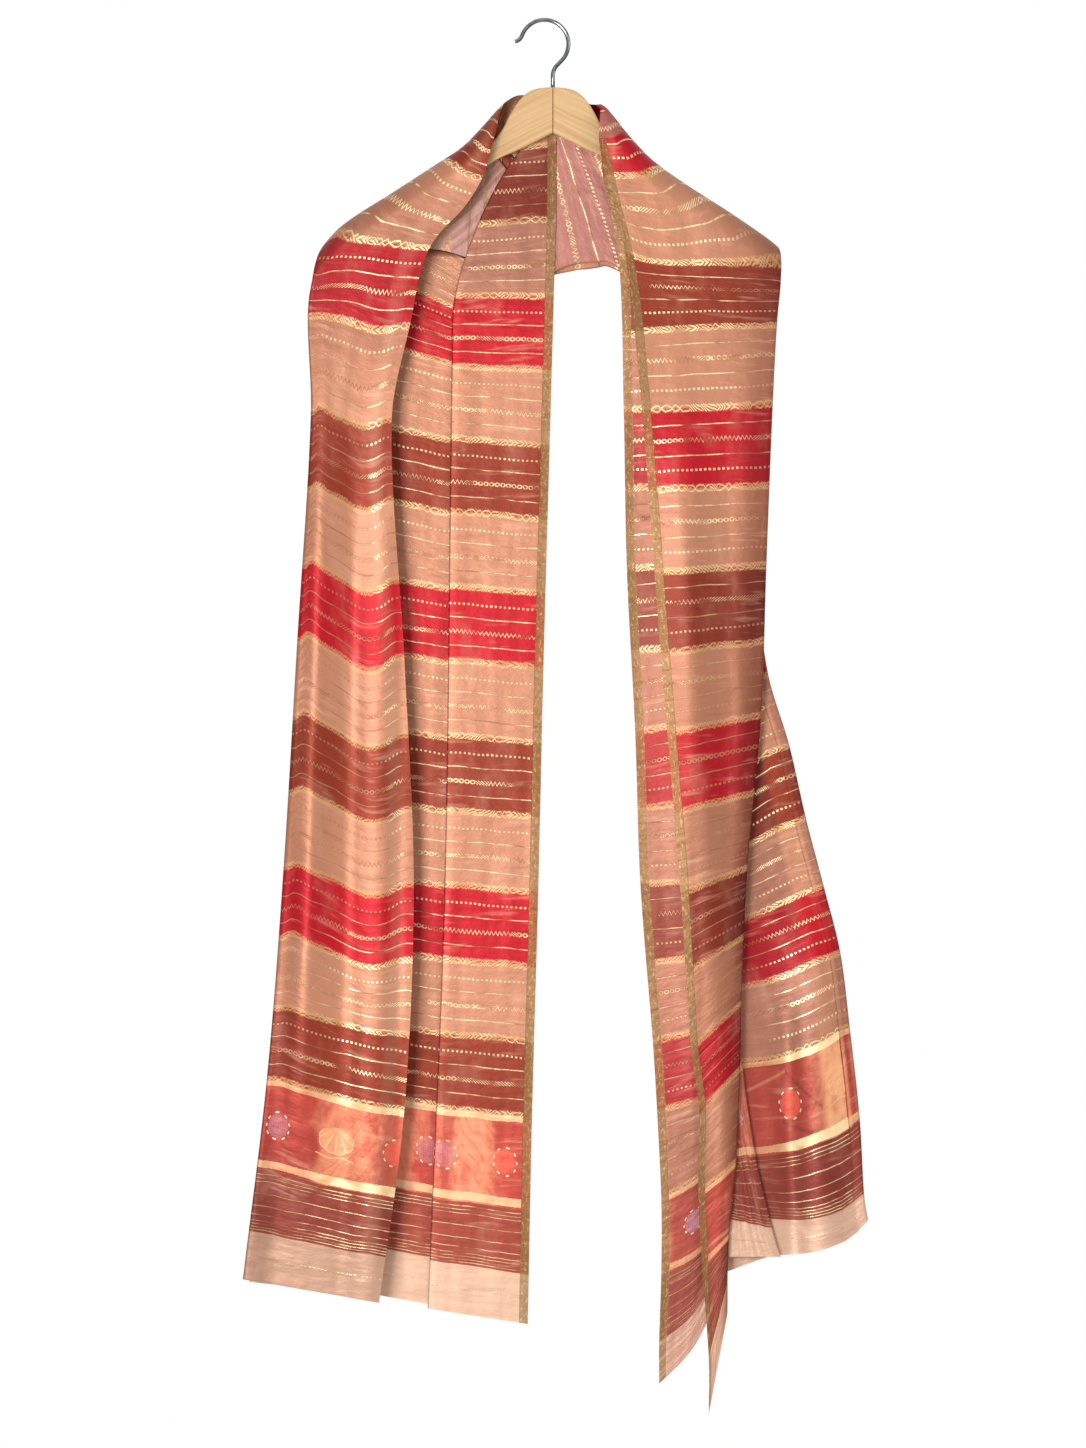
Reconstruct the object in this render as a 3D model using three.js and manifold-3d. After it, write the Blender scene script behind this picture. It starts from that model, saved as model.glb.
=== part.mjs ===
// A striped silk dupatta, pleated along its length and hung on a wooden clothes hanger.
// Millimetres, +Z up, +X to the right and -Y towards the viewer.
// The origin is the inner top of the hook, where it sits on a rail.

import * as THREE from 'three';
import { mergeVertices } from 'three/addons/utils/BufferGeometryUtils.js';
import Module from 'manifold-3d';

const wasm = await Module();
wasm.setup();

// Hanger
const centreX = 8;
const woodThickness = 12;
const woodBevel = 1.5;
const seamGap = 0.3;
const seatGap = 0.3;
const headDrop = 63;
const wireRadius = 2;
const bowlRadius = 23;
const bowlX = -8;
const shankDepth = 20;

// Cloth
const clothLength = 2474;
const clothThickness = 1;
const innerReach = 10.8;
const layerStep = 2.2;
const hangingReach = 2;
const hangingStep = 4;
const backReach = 9.5;
const backStep = 2.6;
const foldInset = 1.6;
const wrapBulge = 5;
const outermost = 6;
const apexStepLeft = 3.6;
const apexStepRight = 2.7;
const neckHalf = 38;
const shoulderStart = 62;
const neckSqueeze = 0.7;
const squeezeFade = [25, 60];
const hangFade = [60, 300];
const reliefFade = [40, 140];

// Upper edge of one arm: distance from the middle, drop below the origin
const woodTop = [
  [12, 64], [20, 66], [26, 69.5], [31, 74.5], [36, 81], [42, 91], [47, 101], [54, 111],
  [64, 121], [77, 136], [91, 152], [112, 170], [136, 187], [170, 209], [198, 228],
];
// Lower edge of one arm, from the tip back to the middle
const woodBottom = [
  [198, 244], [170, 225], [136, 203], [112, 186], [91, 169], [63, 138], [30, 122], [14, 114],
];
const woodTip = [[206, 233], [210, 240], [207, 246]];

// Top of the outermost layer of cloth along the arms: x, drop
const crestLine = [
  [-226, 221], [-203, 196], [-151, 162], [-111, 136], [-87, 120], [-69, 102], [-50, 81],
  [-35, 69], [-23, 64], [0, 60], [23, 65], [30, 68.5], [44, 77], [58, 90], [74, 110],
  [95, 132], [128, 156], [167, 181], [205, 207], [222, 221],
];

// Lines along the cloth, each with its place at some lengths from the left end.
// Columns: length, x, drop, face (-1 in front of the arms, 0 on their crest, 1 behind).
const lines = {
  frontEdge: [
    [0, -166, 1227, -1], [201, -142, 1043, -1], [423, -133, 827, -1], [645, -142, 611, -1],
    [867, -154, 382, -1], [941, -137, 294, -1], [1015, -118, 219, -1], [1089, -70, 157, -1],
    [1126, -57, 116, -1], [1150, -50, 92, -1], [1163, -45, 76, 0], [1175, -36, 80, 1],
    [1200, -5, 74, 1], [1225, 24, 78, 1], [1236, 35, 82, 1], [1245, 41, 75.5, 0],
    [1256, 42, 94, -1], [1275, 43, 114, -1],
    [1311, 50, 149, -1], [1385, 69, 223, -1], [1533, 85, 374, -1], [1755, 103, 606, -1],
    [1977, 122, 836, -1], [2125, 132, 985, -1], [2199, 140, 1046, -1], [2273, 139, 1124, -1],
    [2364, 143, 1197, -1], [2426, 149, 1280, -1], [2474, 149, 1334, -1],
  ],
  firstOuterFold: [
    [0, -296, 1205, -1], [201, -273, 1013, -1], [423, -257, 810, -1], [645, -244, 595, -1],
    [867, -231, 375, -1], [941, -234, 284, -1], [985, -229, 245, -1], [1015, -219, 209, 0],
    [1052, -178, 209, 1], [1089, -127, 217, 1], [1126, -72, 234, 1], [1163, -17, 247, 1],
    [1237, 84, 247, 1], [1311, 160, 238, 1], [1345, 200, 236, 1], [1374, 217, 222, 0], [1395, 218, 246, -1],
    [1459, 214, 292, -1], [1533, 210, 368, -1], [1681, 204, 522, -1], [1829, 199, 666, -1],
    [1977, 186, 811, -1], [2125, 180, 941, -1], [2199, 179, 1003, -1], [2273, 175, 1092, -1],
    [2364, 168, 1168, -1], [2474, 167, 1237, -1],
  ],
  firstInnerFold: [
    [0, -172, 1222, -1], [423, -140, 826, -1], [867, -161, 380, -1], [941, -144, 291, -1],
    [1015, -126, 222, -1], [1060, -98, 170, -1], [1100, -67, 100, 0], [1132, -48, 116, 1],
    [1163, -26, 138, 1], [1200, 10, 136, 1], [1237, 50, 134, 1], [1265, 66, 130, 1],
    [1288, 74, 116, 0], [1311, 78, 146, -1], [1385, 86, 224, -1], [1533, 95, 366, -1],
    [1755, 112, 562, -1], [1977, 130, 753, -1], [2199, 145, 936, -1], [2273, 148, 1004, -1],
    [2364, 151, 1092, -1], [2474, 153, 1184, -1],
  ],
  secondOuterFold: [
    [0, -290, 1208, -1], [423, -251, 812, -1], [867, -226, 378, -1], [941, -229, 287, -1],
    [985, -224, 248, -1], [1015, -213, 204, 0], [1052, -172, 204, 1], [1089, -122, 212, 1],
    [1126, -68, 228, 1], [1163, -14, 240, 1], [1237, 86, 240, 1], [1311, 156, 232, 1], [1345, 196, 230, 1],
    [1372, 212, 216, 0], [1395, 213, 243, -1], [1533, 205, 362, -1], [1755, 197, 552, -1],
    [1977, 182, 741, -1], [2199, 177, 930, -1], [2273, 181, 1000, -1], [2364, 194, 1088, -1],
    [2426, 210, 1157, -1], [2474, 218, 1184, -1],
  ],
  secondInnerFold: [
    [0, -180, 1218, -1], [423, -149, 822, -1], [867, -169, 378, -1], [941, -153, 288, -1],
    [1015, -136, 224, -1], [1060, -106, 180, -1], [1105, -74, 109, 0], [1137, -54, 128, 1],
    [1163, -32, 150, 1], [1200, 8, 148, 1], [1237, 54, 146, 1], [1265, 72, 142, 1],
    [1292, 82, 126, 0], [1311, 87, 152, -1], [1385, 95, 234, -1], [1533, 105, 362, -1],
    [1755, 122, 556, -1], [1977, 141, 750, -1], [2199, 154, 934, -1], [2273, 157, 1002, -1],
    [2364, 159, 1091, -1], [2474, 160, 1182, -1],
  ],
  wrapFront: [
    [0, -284, 1203, -1], [423, -245, 806, -1], [867, -220, 372, -1], [941, -222, 282, -1],
    [975, -220, 254, -1], [1000, -216, 207, 0], [1025, -200, 216, 1], [1052, -160, 212, 1],
    [1089, -104, 216, 1], [1126, -55, 226, 1], [1163, -18, 224, 1], [1237, 80, 224, 1],
    [1311, 149, 216, 1], [1345, 188, 221, 1], [1366, 202, 206, 0], [1395, 200, 244, -1],
    [1533, 188, 342, -1], [1755, 177, 502, -1], [1829, 178, 563, -1], [1903, 186, 635, -1],
    [1977, 206, 701, -1], [2051, 222, 771, -1], [2125, 239, 836, -1], [2199, 255, 900, -1],
    [2273, 264, 974, -1], [2364, 274, 1068, -1], [2426, 278, 1140, -1], [2474, 282, 1169, -1],
  ],
  wrapBack: [
    [0, -284, 1203, 1], [423, -245, 806, 1], [867, -220, 372, 1], [941, -220, 290, 1],
    [985, -213, 250, 1], [1025, -193, 220, 1], [1052, -153, 216, 1], [1089, -97, 220, 1],
    [1126, -49, 230, 1], [1163, -16, 235, 1], [1237, 83, 235, 1], [1311, 152, 227, 1],
    [1345, 192, 228, 1], [1369, 207, 211, 0], [1395, 209, 245, -1], [1533, 198, 340, -1],
    [1755, 187, 500, -1], [1829, 187, 559, -1], [1903, 196, 631, -1], [1977, 216, 698, -1],
    [2051, 232, 768, -1], [2125, 249, 833, -1], [2199, 265, 897, -1], [2273, 274, 968, -1],
    [2364, 284, 1062, -1], [2426, 288, 1132, -1], [2474, 292, 1161, -1],
  ],
  tailEdge: [
    [0, -42, 1246, 1], [423, -32, 842, 1], [867, -24, 418, 1], [941, -21, 352, 1],
    [1015, -20, 300, 1], [1089, -19, 268, 1], [1163, -10, 248, 1], [1237, 87, 247, 1],
    [1311, 156, 238, 1], [1345, 197, 236, 1], [1372, 214, 218, 0], [1395, 217, 246, -1],
    [1533, 208, 338, -1], [1755, 197, 497, -1], [1829, 197, 555, -1], [1903, 206, 627, -1],
    [1977, 226, 694, -1], [2051, 242, 764, -1], [2125, 259, 829, -1], [2199, 275, 893, -1],
    [2273, 284, 964, -1], [2364, 294, 1054, -1], [2426, 298, 1124, -1], [2474, 302, 1150, -1],
  ],
  neckFold: [
    [0, -120, 1236, 1], [423, -104, 828, 1], [867, -98, 398, 1], [941, -97, 330, 1],
    [1015, -94, 262, 1], [1089, -72, 193, 1], [1163, -31, 121, 1], [1185, -12, 104, 1],
    [1200, -2, 98, 1], [1220, 16, 98, 1], [1240, 38, 104, 1], [1262, 56, 88, 0],
    [1285, 70, 128, -1], [1311, 80, 156, -1], [1385, 98, 232, -1], [1533, 106, 362, -1],
    [1755, 111, 570, -1], [1977, 127, 788, -1], [2125, 145, 936, -1], [2273, 157, 1070, -1],
    [2474, 160, 1202, -1],
  ],
  backEdge: [
    [0, -24, 1251, 1], [201, -20, 1052, 1], [423, -14, 836, 1], [645, -9, 620, 1],
    [867, -3, 406, 1], [1015, -1, 262, 1], [1089, -1, 188, 1], [1163, -1, 115, 1],
    [1200, 3, 83, 1], [1222, 22, 87, 1], [1238, 36, 93, 1], [1250, 45, 78, 0],
    [1265, 46, 106, -1],
    [1311, 48, 150, -1], [1385, 63, 226, -1], [1533, 68, 373, -1], [1681, 71, 525, -1],
    [1829, 79, 682, -1], [1977, 84, 827, -1], [2125, 96, 980, -1], [2199, 100, 1045, -1],
    [2273, 104, 1129, -1], [2364, 104, 1203, -1], [2426, 102, 1268, -1], [2474, 102, 1307, -1],
  ],
};

// Layers of the pleated cloth from the front: two lines, points across,
// and how many steps it lies from the wood
const layers = [
  { from: 'frontEdge', to: 'firstOuterFold', points: 9, steps: 6 },
  { from: 'firstOuterFold', to: 'firstInnerFold', points: 7, steps: 5 },
  { from: 'firstInnerFold', to: 'secondOuterFold', points: 7, steps: 4 },
  { from: 'secondOuterFold', to: 'secondInnerFold', points: 7, steps: 3 },
  { from: 'secondInnerFold', to: 'wrapFront', points: 7, steps: 2 },
  { from: 'wrapBack', to: 'tailEdge', points: 5, steps: 2 },
  { from: 'tailEdge', to: 'neckFold', points: 8, steps: 1 },
  { from: 'neckFold', to: 'backEdge', points: 4, steps: 0 },
];

// Long soft ridges of the hanging panels.
// Columns: x and drop at the top, x and drop at the bottom, half width, height towards the viewer.
const ridges = [
  [-212, 300, -240, 1000, 24, 7],
  [-160, 300, -176, 1250, 26, 5],
  [120, 300, 150, 1000, 26, 6],
  [246, 820, 264, 1250, 24, 8],
];

const mix = (a, b, t) => a + (b - a) * t;
const clamp = (value, low, high) => Math.min(high, Math.max(low, value));

function smoothstep(low, high, value) {
  const t = clamp((value - low) / (high - low), 0, 1);
  return t * t * (3 - 2 * t);
}

// Smooth curve through rows of a table, by its first column
function through(rows, column, at) {
  const last = rows.length - 1;
  const slope = (i) => {
    const a = rows[Math.max(0, i - 1)];
    const b = rows[Math.min(last, i + 1)];
    return (b[column] - a[column]) / (b[0] - a[0]);
  };
  if (at <= rows[0][0]) return rows[0][column] + (at - rows[0][0]) * slope(0);
  if (at >= rows[last][0]) return rows[last][column] + (at - rows[last][0]) * slope(last);
  let i = 0;
  while (rows[i + 1][0] < at) i += 1;
  const span = rows[i + 1][0] - rows[i][0];
  const t = (at - rows[i][0]) / span;
  const t2 = t * t;
  const t3 = t2 * t;
  return (2 * t3 - 3 * t2 + 1) * rows[i][column] + (t3 - 2 * t2 + t) * span * slope(i)
    + (3 * t2 - 2 * t3) * rows[i + 1][column] + (t3 - t2) * span * slope(i + 1);
}

const crest = (x) => through(crestLine, 1, x);

// Each line as length, x and the distance past the crest, negative in front
const paths = {};
for (const [name, rows] of Object.entries(lines)) {
  paths[name] = rows.map(([length, x, drop, face]) => [length, x, face * (drop - crest(x))]);
}

function lineAt(name, length) {
  const x = through(paths[name], 1, length);
  const past = through(paths[name], 2, length);
  return { x, past, drop: crest(x) + Math.abs(past) };
}

// Place on a layer, as x and the distance past the crest, a little short of its folds
function acrossLayer(layer, t, length, inset) {
  const a = lineAt(layer.from, length);
  const b = lineAt(layer.to, length);
  const margin = inset / Math.hypot(b.x - a.x, b.past - a.past);
  const low = layer.from === 'frontEdge' ? 0 : margin;
  const high = layer.to === 'backEdge' ? 1 : 1 - margin;
  const along = mix(low, high, t);
  const x = mix(a.x, b.x, along);
  const direct = mix(a.past, b.past, along);
  if (a.past * b.past <= 0) return { x, past: direct };
  const level = Math.sign(a.past) * (mix(a.drop, b.drop, along) - crest(x));
  const weight = smoothstep(0, 60, Math.min(Math.abs(a.past), Math.abs(b.past)));
  return { x, past: mix(direct, level, weight) };
}

function reliefAt(x, drop) {
  let sum = 0;
  for (const [topX, topDrop, bottomX, bottomDrop, half, height] of ridges) {
    const along = (drop - topDrop) / (bottomDrop - topDrop);
    const middle = mix(topX, bottomX, along);
    const fade = smoothstep(0, 0.35, along) * (1 - smoothstep(0.85, 1.25, along));
    sum += height * fade * Math.exp(-(((x - middle) / half) ** 2));
  }
  return sum;
}

// Point in space of a place on the surface that lies some steps from the wood
function placed({ x, past }, steps) {
  const far = Math.abs(past);
  const face = Math.sign(past);
  const nearNeck = 1 - smoothstep(neckHalf, shoulderStart, Math.abs(x));
  const squeeze = neckSqueeze * nearNeck * (1 - smoothstep(...squeezeFade, far));
  const level = steps - squeeze * Math.max(0, steps - 2);
  const reach = innerReach + layerStep * level;
  const hanging = face < 0 ? hangingReach + hangingStep * steps : backReach + backStep * steps;
  const depth = mix(reach, hanging, smoothstep(...hangFade, far));
  const apexStep = mix(apexStepLeft, apexStepRight, smoothstep(-70, 30, x));
  const top = outermost - squeeze * (outermost - 2);
  const rise = reach + apexStep * (top - level);
  let y = face * depth;
  let drop = crest(x) + far;
  if (far < rise) {
    const turn = (past / rise) * (Math.PI / 2);
    y = reach * Math.sin(turn);
    drop = crest(x) + rise - reach * Math.cos(turn);
  }
  if (face < 0) y -= reliefAt(x, drop) * smoothstep(...reliefFade, far);
  return new THREE.Vector3(centreX + x, y, -drop);
}

// The last two layers lie flat together on the right, and are folded over each other on the left
function stepsAt(layer, t, length) {
  const open = 0.5 * smoothstep(1180, 1230, length);
  if (layer.to === 'neckFold') return layer.steps - open * t;
  if (layer.from === 'neckFold') return layer.steps + open * (1 - t);
  return layer.steps;
}

// Length at which a column of the cloth crosses an arm
function crossing(layer, t, inset, low, high, fallback) {
  const sideAt = (length) => acrossLayer(layer, t, length, inset).past;
  let a = low;
  let b = high;
  const first = Math.sign(sideAt(a));
  if (first === Math.sign(sideAt(b))) return fallback;
  for (let i = 0; i < 30; i += 1) {
    const middle = (a + b) / 2;
    if (Math.sign(sideAt(middle)) === first) a = middle;
    else b = middle;
  }
  return (a + b) / 2;
}

// Stations along the cloth: even down each panel, close together over the arms
const armOffsets = [44, 28, 16, 8, 2.4];
const neckOffsets = [2.4, 8, 16, 27, 42, 68, 100, 140];
const panelStations = 10;
const armZone = 64;
const neckHalfLength = 181;

function stationsOf(leftArm, rightArm) {
  const stations = [];
  const start = leftArm - armZone;
  for (let i = 0; i < panelStations; i += 1) stations.push((start * i) / (panelStations - 1));
  for (const offset of armOffsets) stations.push(leftArm - offset);
  const half = (rightArm - leftArm) / 2;
  const even = clamp(1 - half / 100, 0, 1);
  const spread = neckOffsets.map((offset, i) => {
    const crowded = (offset / neckHalfLength) * half;
    return mix(crowded, ((i + 0.5) / (neckOffsets.length + 0.5)) * half, even);
  });
  for (const offset of spread) stations.push(leftArm + offset);
  stations.push(leftArm + half);
  for (const offset of [...spread].reverse()) stations.push(rightArm - offset);
  for (const offset of [...armOffsets].reverse()) stations.push(rightArm + offset);
  const restart = rightArm + armZone;
  for (let i = 0; i <= panelStations; i += 1) {
    stations.push(mix(restart, clothLength, i / panelStations));
  }
  return stations;
}

const crossingGuess = { wrapBack: 1000, tailEdge: 990, neckFold: 970, backEdge: 970 };

function columnOf(layer, t, inset) {
  const guess = mix(crossingGuess[layer.from], crossingGuess[layer.to], t);
  const leftArm = crossing(layer, t, inset, 950, 1193, guess);
  const rightArm = crossing(layer, t, inset, 1222, 1400, guess);
  return stationsOf(leftArm, rightArm).map((length) => (
    placed(acrossLayer(layer, t, length, inset), stepsAt(layer, t, length))
  ));
}

// The round back of a fold, between the last column of one layer and the first of the next
function foldColumn(layer, next, last) {
  const ends = columnOf(layer, 1, 0);
  const starts = columnOf(next, 0, 0);
  return ends.map((end, i) => {
    const outward = end.clone().sub(last[i]).normalize();
    const bulge = clamp(end.distanceTo(starts[i]) / 2 - 2, 0, wrapBulge);
    return end.clone().add(starts[i]).multiplyScalar(0.5).addScaledVector(outward, bulge);
  });
}

function clothColumns() {
  const columns = [];
  layers.forEach((layer, order) => {
    if (order > 0) columns.push(foldColumn(layers[order - 1], layer, columns[columns.length - 1]));
    for (let i = 0; i < layer.points; i += 1) {
      columns.push(columnOf(layer, i / (layer.points - 1), foldInset));
    }
  });
  return columns;
}

// A closed sheet of even thickness about a grid of points
function sheetGeometry(columns, thickness) {
  const across = columns.length;
  const along = columns[0].length;
  const positions = [];
  for (const side of [0.5, -0.5]) {
    for (let i = 0; i < across; i += 1) {
      for (let j = 0; j < along; j += 1) {
        const du = columns[Math.min(i + 1, across - 1)][j].clone().sub(columns[Math.max(i - 1, 0)][j]);
        const dv = columns[i][Math.min(j + 1, along - 1)].clone().sub(columns[i][Math.max(j - 1, 0)]);
        const normal = dv.cross(du).normalize();
        const point = columns[i][j].clone().addScaledVector(normal, side * thickness);
        positions.push(point.x, point.y, point.z);
      }
    }
  }
  const index = [];
  const at = (side, i, j) => side * across * along + i * along + j;
  const quad = (a, b, c, d) => index.push(a, b, c, a, c, d);
  for (let i = 0; i < across - 1; i += 1) {
    for (let j = 0; j < along - 1; j += 1) {
      quad(at(0, i, j), at(0, i, j + 1), at(0, i + 1, j + 1), at(0, i + 1, j));
      quad(at(1, i, j), at(1, i + 1, j), at(1, i + 1, j + 1), at(1, i, j + 1));
    }
  }
  for (let j = 0; j < along - 1; j += 1) {
    quad(at(0, 0, j + 1), at(0, 0, j), at(1, 0, j), at(1, 0, j + 1));
    quad(at(0, across - 1, j), at(0, across - 1, j + 1), at(1, across - 1, j + 1), at(1, across - 1, j));
  }
  for (let i = 0; i < across - 1; i += 1) {
    quad(at(0, i, 0), at(0, i + 1, 0), at(1, i + 1, 0), at(1, i, 0));
    quad(at(0, i + 1, along - 1), at(0, i, along - 1), at(1, i, along - 1), at(1, i + 1, along - 1));
  }
  const geometry = new THREE.BufferGeometry();
  geometry.setAttribute('position', new THREE.Float32BufferAttribute(positions, 3));
  geometry.setIndex(index);
  return geometry;
}

function makeCloth() {
  const material = new THREE.MeshStandardMaterial({ color: 0xb0483c, roughness: 0.45, metalness: 0 });
  const mesh = new THREE.Mesh(sheetGeometry(clothColumns(), clothThickness), material);
  mesh.name = 'dupatta';
  return mesh;
}

const toSolid = (geometry) => {
  const bare = geometry.clone();
  bare.deleteAttribute('normal');
  bare.deleteAttribute('uv');
  const merged = mergeVertices(bare, 1e-4);
  const vertProperties = new Float32Array(merged.attributes.position.array);
  const triVerts = new Uint32Array(merged.index.array);
  return new wasm.Manifold(new wasm.Mesh({ numProp: 3, vertProperties, triVerts }));
};

const toGeometry = (solid) => {
  const { vertProperties, triVerts } = solid.getMesh();
  const geometry = new THREE.BufferGeometry();
  geometry.setAttribute('position', new THREE.Float32BufferAttribute(vertProperties, 3));
  geometry.setIndex(new THREE.Uint32BufferAttribute(triVerts, 1));
  return geometry;
};

const splinePoints = (rows, count) => (
  new THREE.SplineCurve(rows.map(([x, drop]) => new THREE.Vector2(x, -drop))).getPoints(count)
);

// One half of the hanger, mitred at the middle; side is -1 for the left and 1 for the right
function makeArm(name, side) {
  const inner = seamGap / 2;
  const outline = [
    ...splinePoints([[inner, headDrop], ...woodTop, ...woodTip], 44),
    ...splinePoints([...woodBottom, [inner, 107]], 26),
  ].map((point) => new THREE.Vector2(side * point.x, point.y));
  if (side < 0) outline.reverse();
  const geometry = new THREE.ExtrudeGeometry(new THREE.Shape(outline), {
    depth: woodThickness - 2 * woodBevel,
    bevelEnabled: true,
    bevelThickness: woodBevel,
    bevelSize: woodBevel,
    bevelOffset: -woodBevel,
    bevelSegments: 2,
    steps: 1,
  });
  geometry.translate(0, 0, -(woodThickness - 2 * woodBevel) / 2);
  geometry.rotateX(Math.PI / 2);
  geometry.translate(centreX, 0, 0);
  const bore = new THREE.CylinderGeometry(wireRadius + seatGap, wireRadius + seatGap, 2 * shankDepth, 20);
  bore.rotateX(Math.PI / 2);
  bore.translate(centreX, 0, -headDrop - seatGap);
  const material = new THREE.MeshStandardMaterial({ color: 0xd8b98c, roughness: 0.3, metalness: 0 });
  const mesh = new THREE.Mesh(toGeometry(toSolid(geometry).subtract(toSolid(bore))), material);
  mesh.name = name;
  return mesh;
}

// Wire hook: shank in the head, round bowl over the rail, tip turned out
function makeHook() {
  const at = (x, drop) => new THREE.Vector3(centreX + x, 0, -drop);
  const bowlDrop = bowlRadius - wireRadius;
  const points = [at(0, headDrop + shankDepth - seatGap), at(0, headDrop), at(0, 49), at(2, 43.5)];
  const arcSteps = 14;
  for (let i = 0; i <= arcSteps; i += 1) {
    const angle = THREE.MathUtils.degToRad(mix(-44, 160, i / arcSteps));
    points.push(at(bowlX + bowlRadius * Math.cos(angle), bowlDrop - bowlRadius * Math.sin(angle)));
  }
  points.push(at(bowlX - bowlRadius - 3, bowlDrop - 2.5), at(bowlX - bowlRadius - 7.5, bowlDrop + 0.5));
  const section = new THREE.Shape();
  section.absarc(0, 0, wireRadius, 0, 2 * Math.PI);
  const geometry = new THREE.ExtrudeGeometry(section, {
    steps: 56,
    curveSegments: 10,
    extrudePath: new THREE.CatmullRomCurve3(points),
    bevelEnabled: false,
  });
  const material = new THREE.MeshStandardMaterial({ color: 0xc8ccd0, roughness: 0.15, metalness: 1 });
  const mesh = new THREE.Mesh(geometry, material);
  mesh.name = 'hook';
  return mesh;
}

const hangingDupatta = new THREE.Group();
hangingDupatta.add(
  makeCloth(),
  makeArm('hanger_arm_left', -1),
  makeArm('hanger_arm_right', 1),
  makeHook(),
);

export default hangingDupatta;
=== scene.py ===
"""A striped silk dupatta draped over a wooden clothes hanger: its looks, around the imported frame.

Tables and sizes are in millimetres. The origin is the inner top of the hook, -Y faces the viewer,
and x in the tables is measured from the middle of the hanger.
"""

import math

import bmesh
import bpy
import numpy as np
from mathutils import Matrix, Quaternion, Vector


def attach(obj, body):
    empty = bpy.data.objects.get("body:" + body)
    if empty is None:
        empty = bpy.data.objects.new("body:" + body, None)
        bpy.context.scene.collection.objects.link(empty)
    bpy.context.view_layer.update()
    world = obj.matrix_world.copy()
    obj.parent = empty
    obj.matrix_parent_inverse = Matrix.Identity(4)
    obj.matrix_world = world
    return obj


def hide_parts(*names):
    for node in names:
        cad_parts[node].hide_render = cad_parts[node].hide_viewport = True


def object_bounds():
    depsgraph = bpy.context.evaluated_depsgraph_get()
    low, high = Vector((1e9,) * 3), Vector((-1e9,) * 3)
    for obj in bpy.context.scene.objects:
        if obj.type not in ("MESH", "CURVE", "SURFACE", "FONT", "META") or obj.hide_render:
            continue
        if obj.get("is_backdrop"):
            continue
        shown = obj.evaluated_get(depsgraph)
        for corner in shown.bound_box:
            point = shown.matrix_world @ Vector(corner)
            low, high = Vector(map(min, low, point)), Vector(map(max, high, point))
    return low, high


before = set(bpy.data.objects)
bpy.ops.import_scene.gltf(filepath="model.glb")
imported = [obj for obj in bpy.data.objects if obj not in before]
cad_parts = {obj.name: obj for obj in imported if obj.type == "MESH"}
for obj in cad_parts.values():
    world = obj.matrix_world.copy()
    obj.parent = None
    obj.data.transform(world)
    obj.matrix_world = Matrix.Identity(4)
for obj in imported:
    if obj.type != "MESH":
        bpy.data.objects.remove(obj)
solid_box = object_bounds()

MM = 0.001
CENTRE_X = 8

# The drape, with the sizes of the solids
CLOTH_LENGTH = 2474
CLOTH_WIDTH = 900
INNER_REACH = 10.8
LAYER_STEP = 2.2
HANGING_REACH = 2
HANGING_STEP = 4
BACK_REACH = 9.5
BACK_STEP = 2.6
FOLD_INSET = 1.6
FOLD_BULGE = 5
OUTERMOST = 6
APEX_STEP_LEFT = 3.6
APEX_STEP_RIGHT = 2.7
NECK_HALF = 38
SHOULDER_START = 62
NECK_SQUEEZE = 0.7
SQUEEZE_FADE = (25, 60)
HANG_FADE = (60, 300)
RELIEF_FADE = (40, 140)
LEVEL_FADE = (0, 60)
NECK_CLOSES = (1180, 1230)
CLOSING_STEP = 0.5
WRAP_FLATTENS = (1360, 1420)
LEFT_PANEL_TOP = 1015

# Sags of two hems, which the solids don't have, and the lengths over which they grow
TAIL_SAG = 8
TAIL_SAG_GROWS = (2000, 2400)
UNDER_SAG = 26
UNDER_SAG_GROWS = (2200, 2440)

# Part of the cloth that lies over the arms, and the stations before it, in it and after it
ARMS_FROM, ARMS_TO = 900, 1430
STATIONS = (91, 213, 105)

# The cloth's pattern along its length
END_LENGTH = 201
STRIPE_PITCH = 74
HEM_WIDTH = 48
BROWN_END = 110
SELVEDGE_WIDTH = 8.6
SELVEDGE_START = 1276

# Where the first band meets the front edge at each shoulder: length, x, drop
LEFT_BAND = (1089, -70, 152)
RIGHT_BAND = (1311, 50, 149)
ROW_SLOPE = 0.36

# Where the straight rows of the shoulders fade, by x, by length and by the distance past the crest
LEFT_ROWS = ((-135, -95), (1030, 1089))
RIGHT_ROWS = ((75, 115), (1311, 1370))
ROWS_END = (10, 60)

# Top of the outermost layer of cloth along the arms: x, drop
crest_line = [
    (-226, 221), (-203, 196), (-151, 162), (-111, 136), (-87, 120), (-69, 102), (-50, 81),
    (-35, 69), (-23, 64), (0, 60), (23, 66), (30, 70), (44, 78), (51, 82), (58, 90), (74, 110),
    (95, 132), (128, 156), (167, 181), (205, 207), (222, 221),
]

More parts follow.
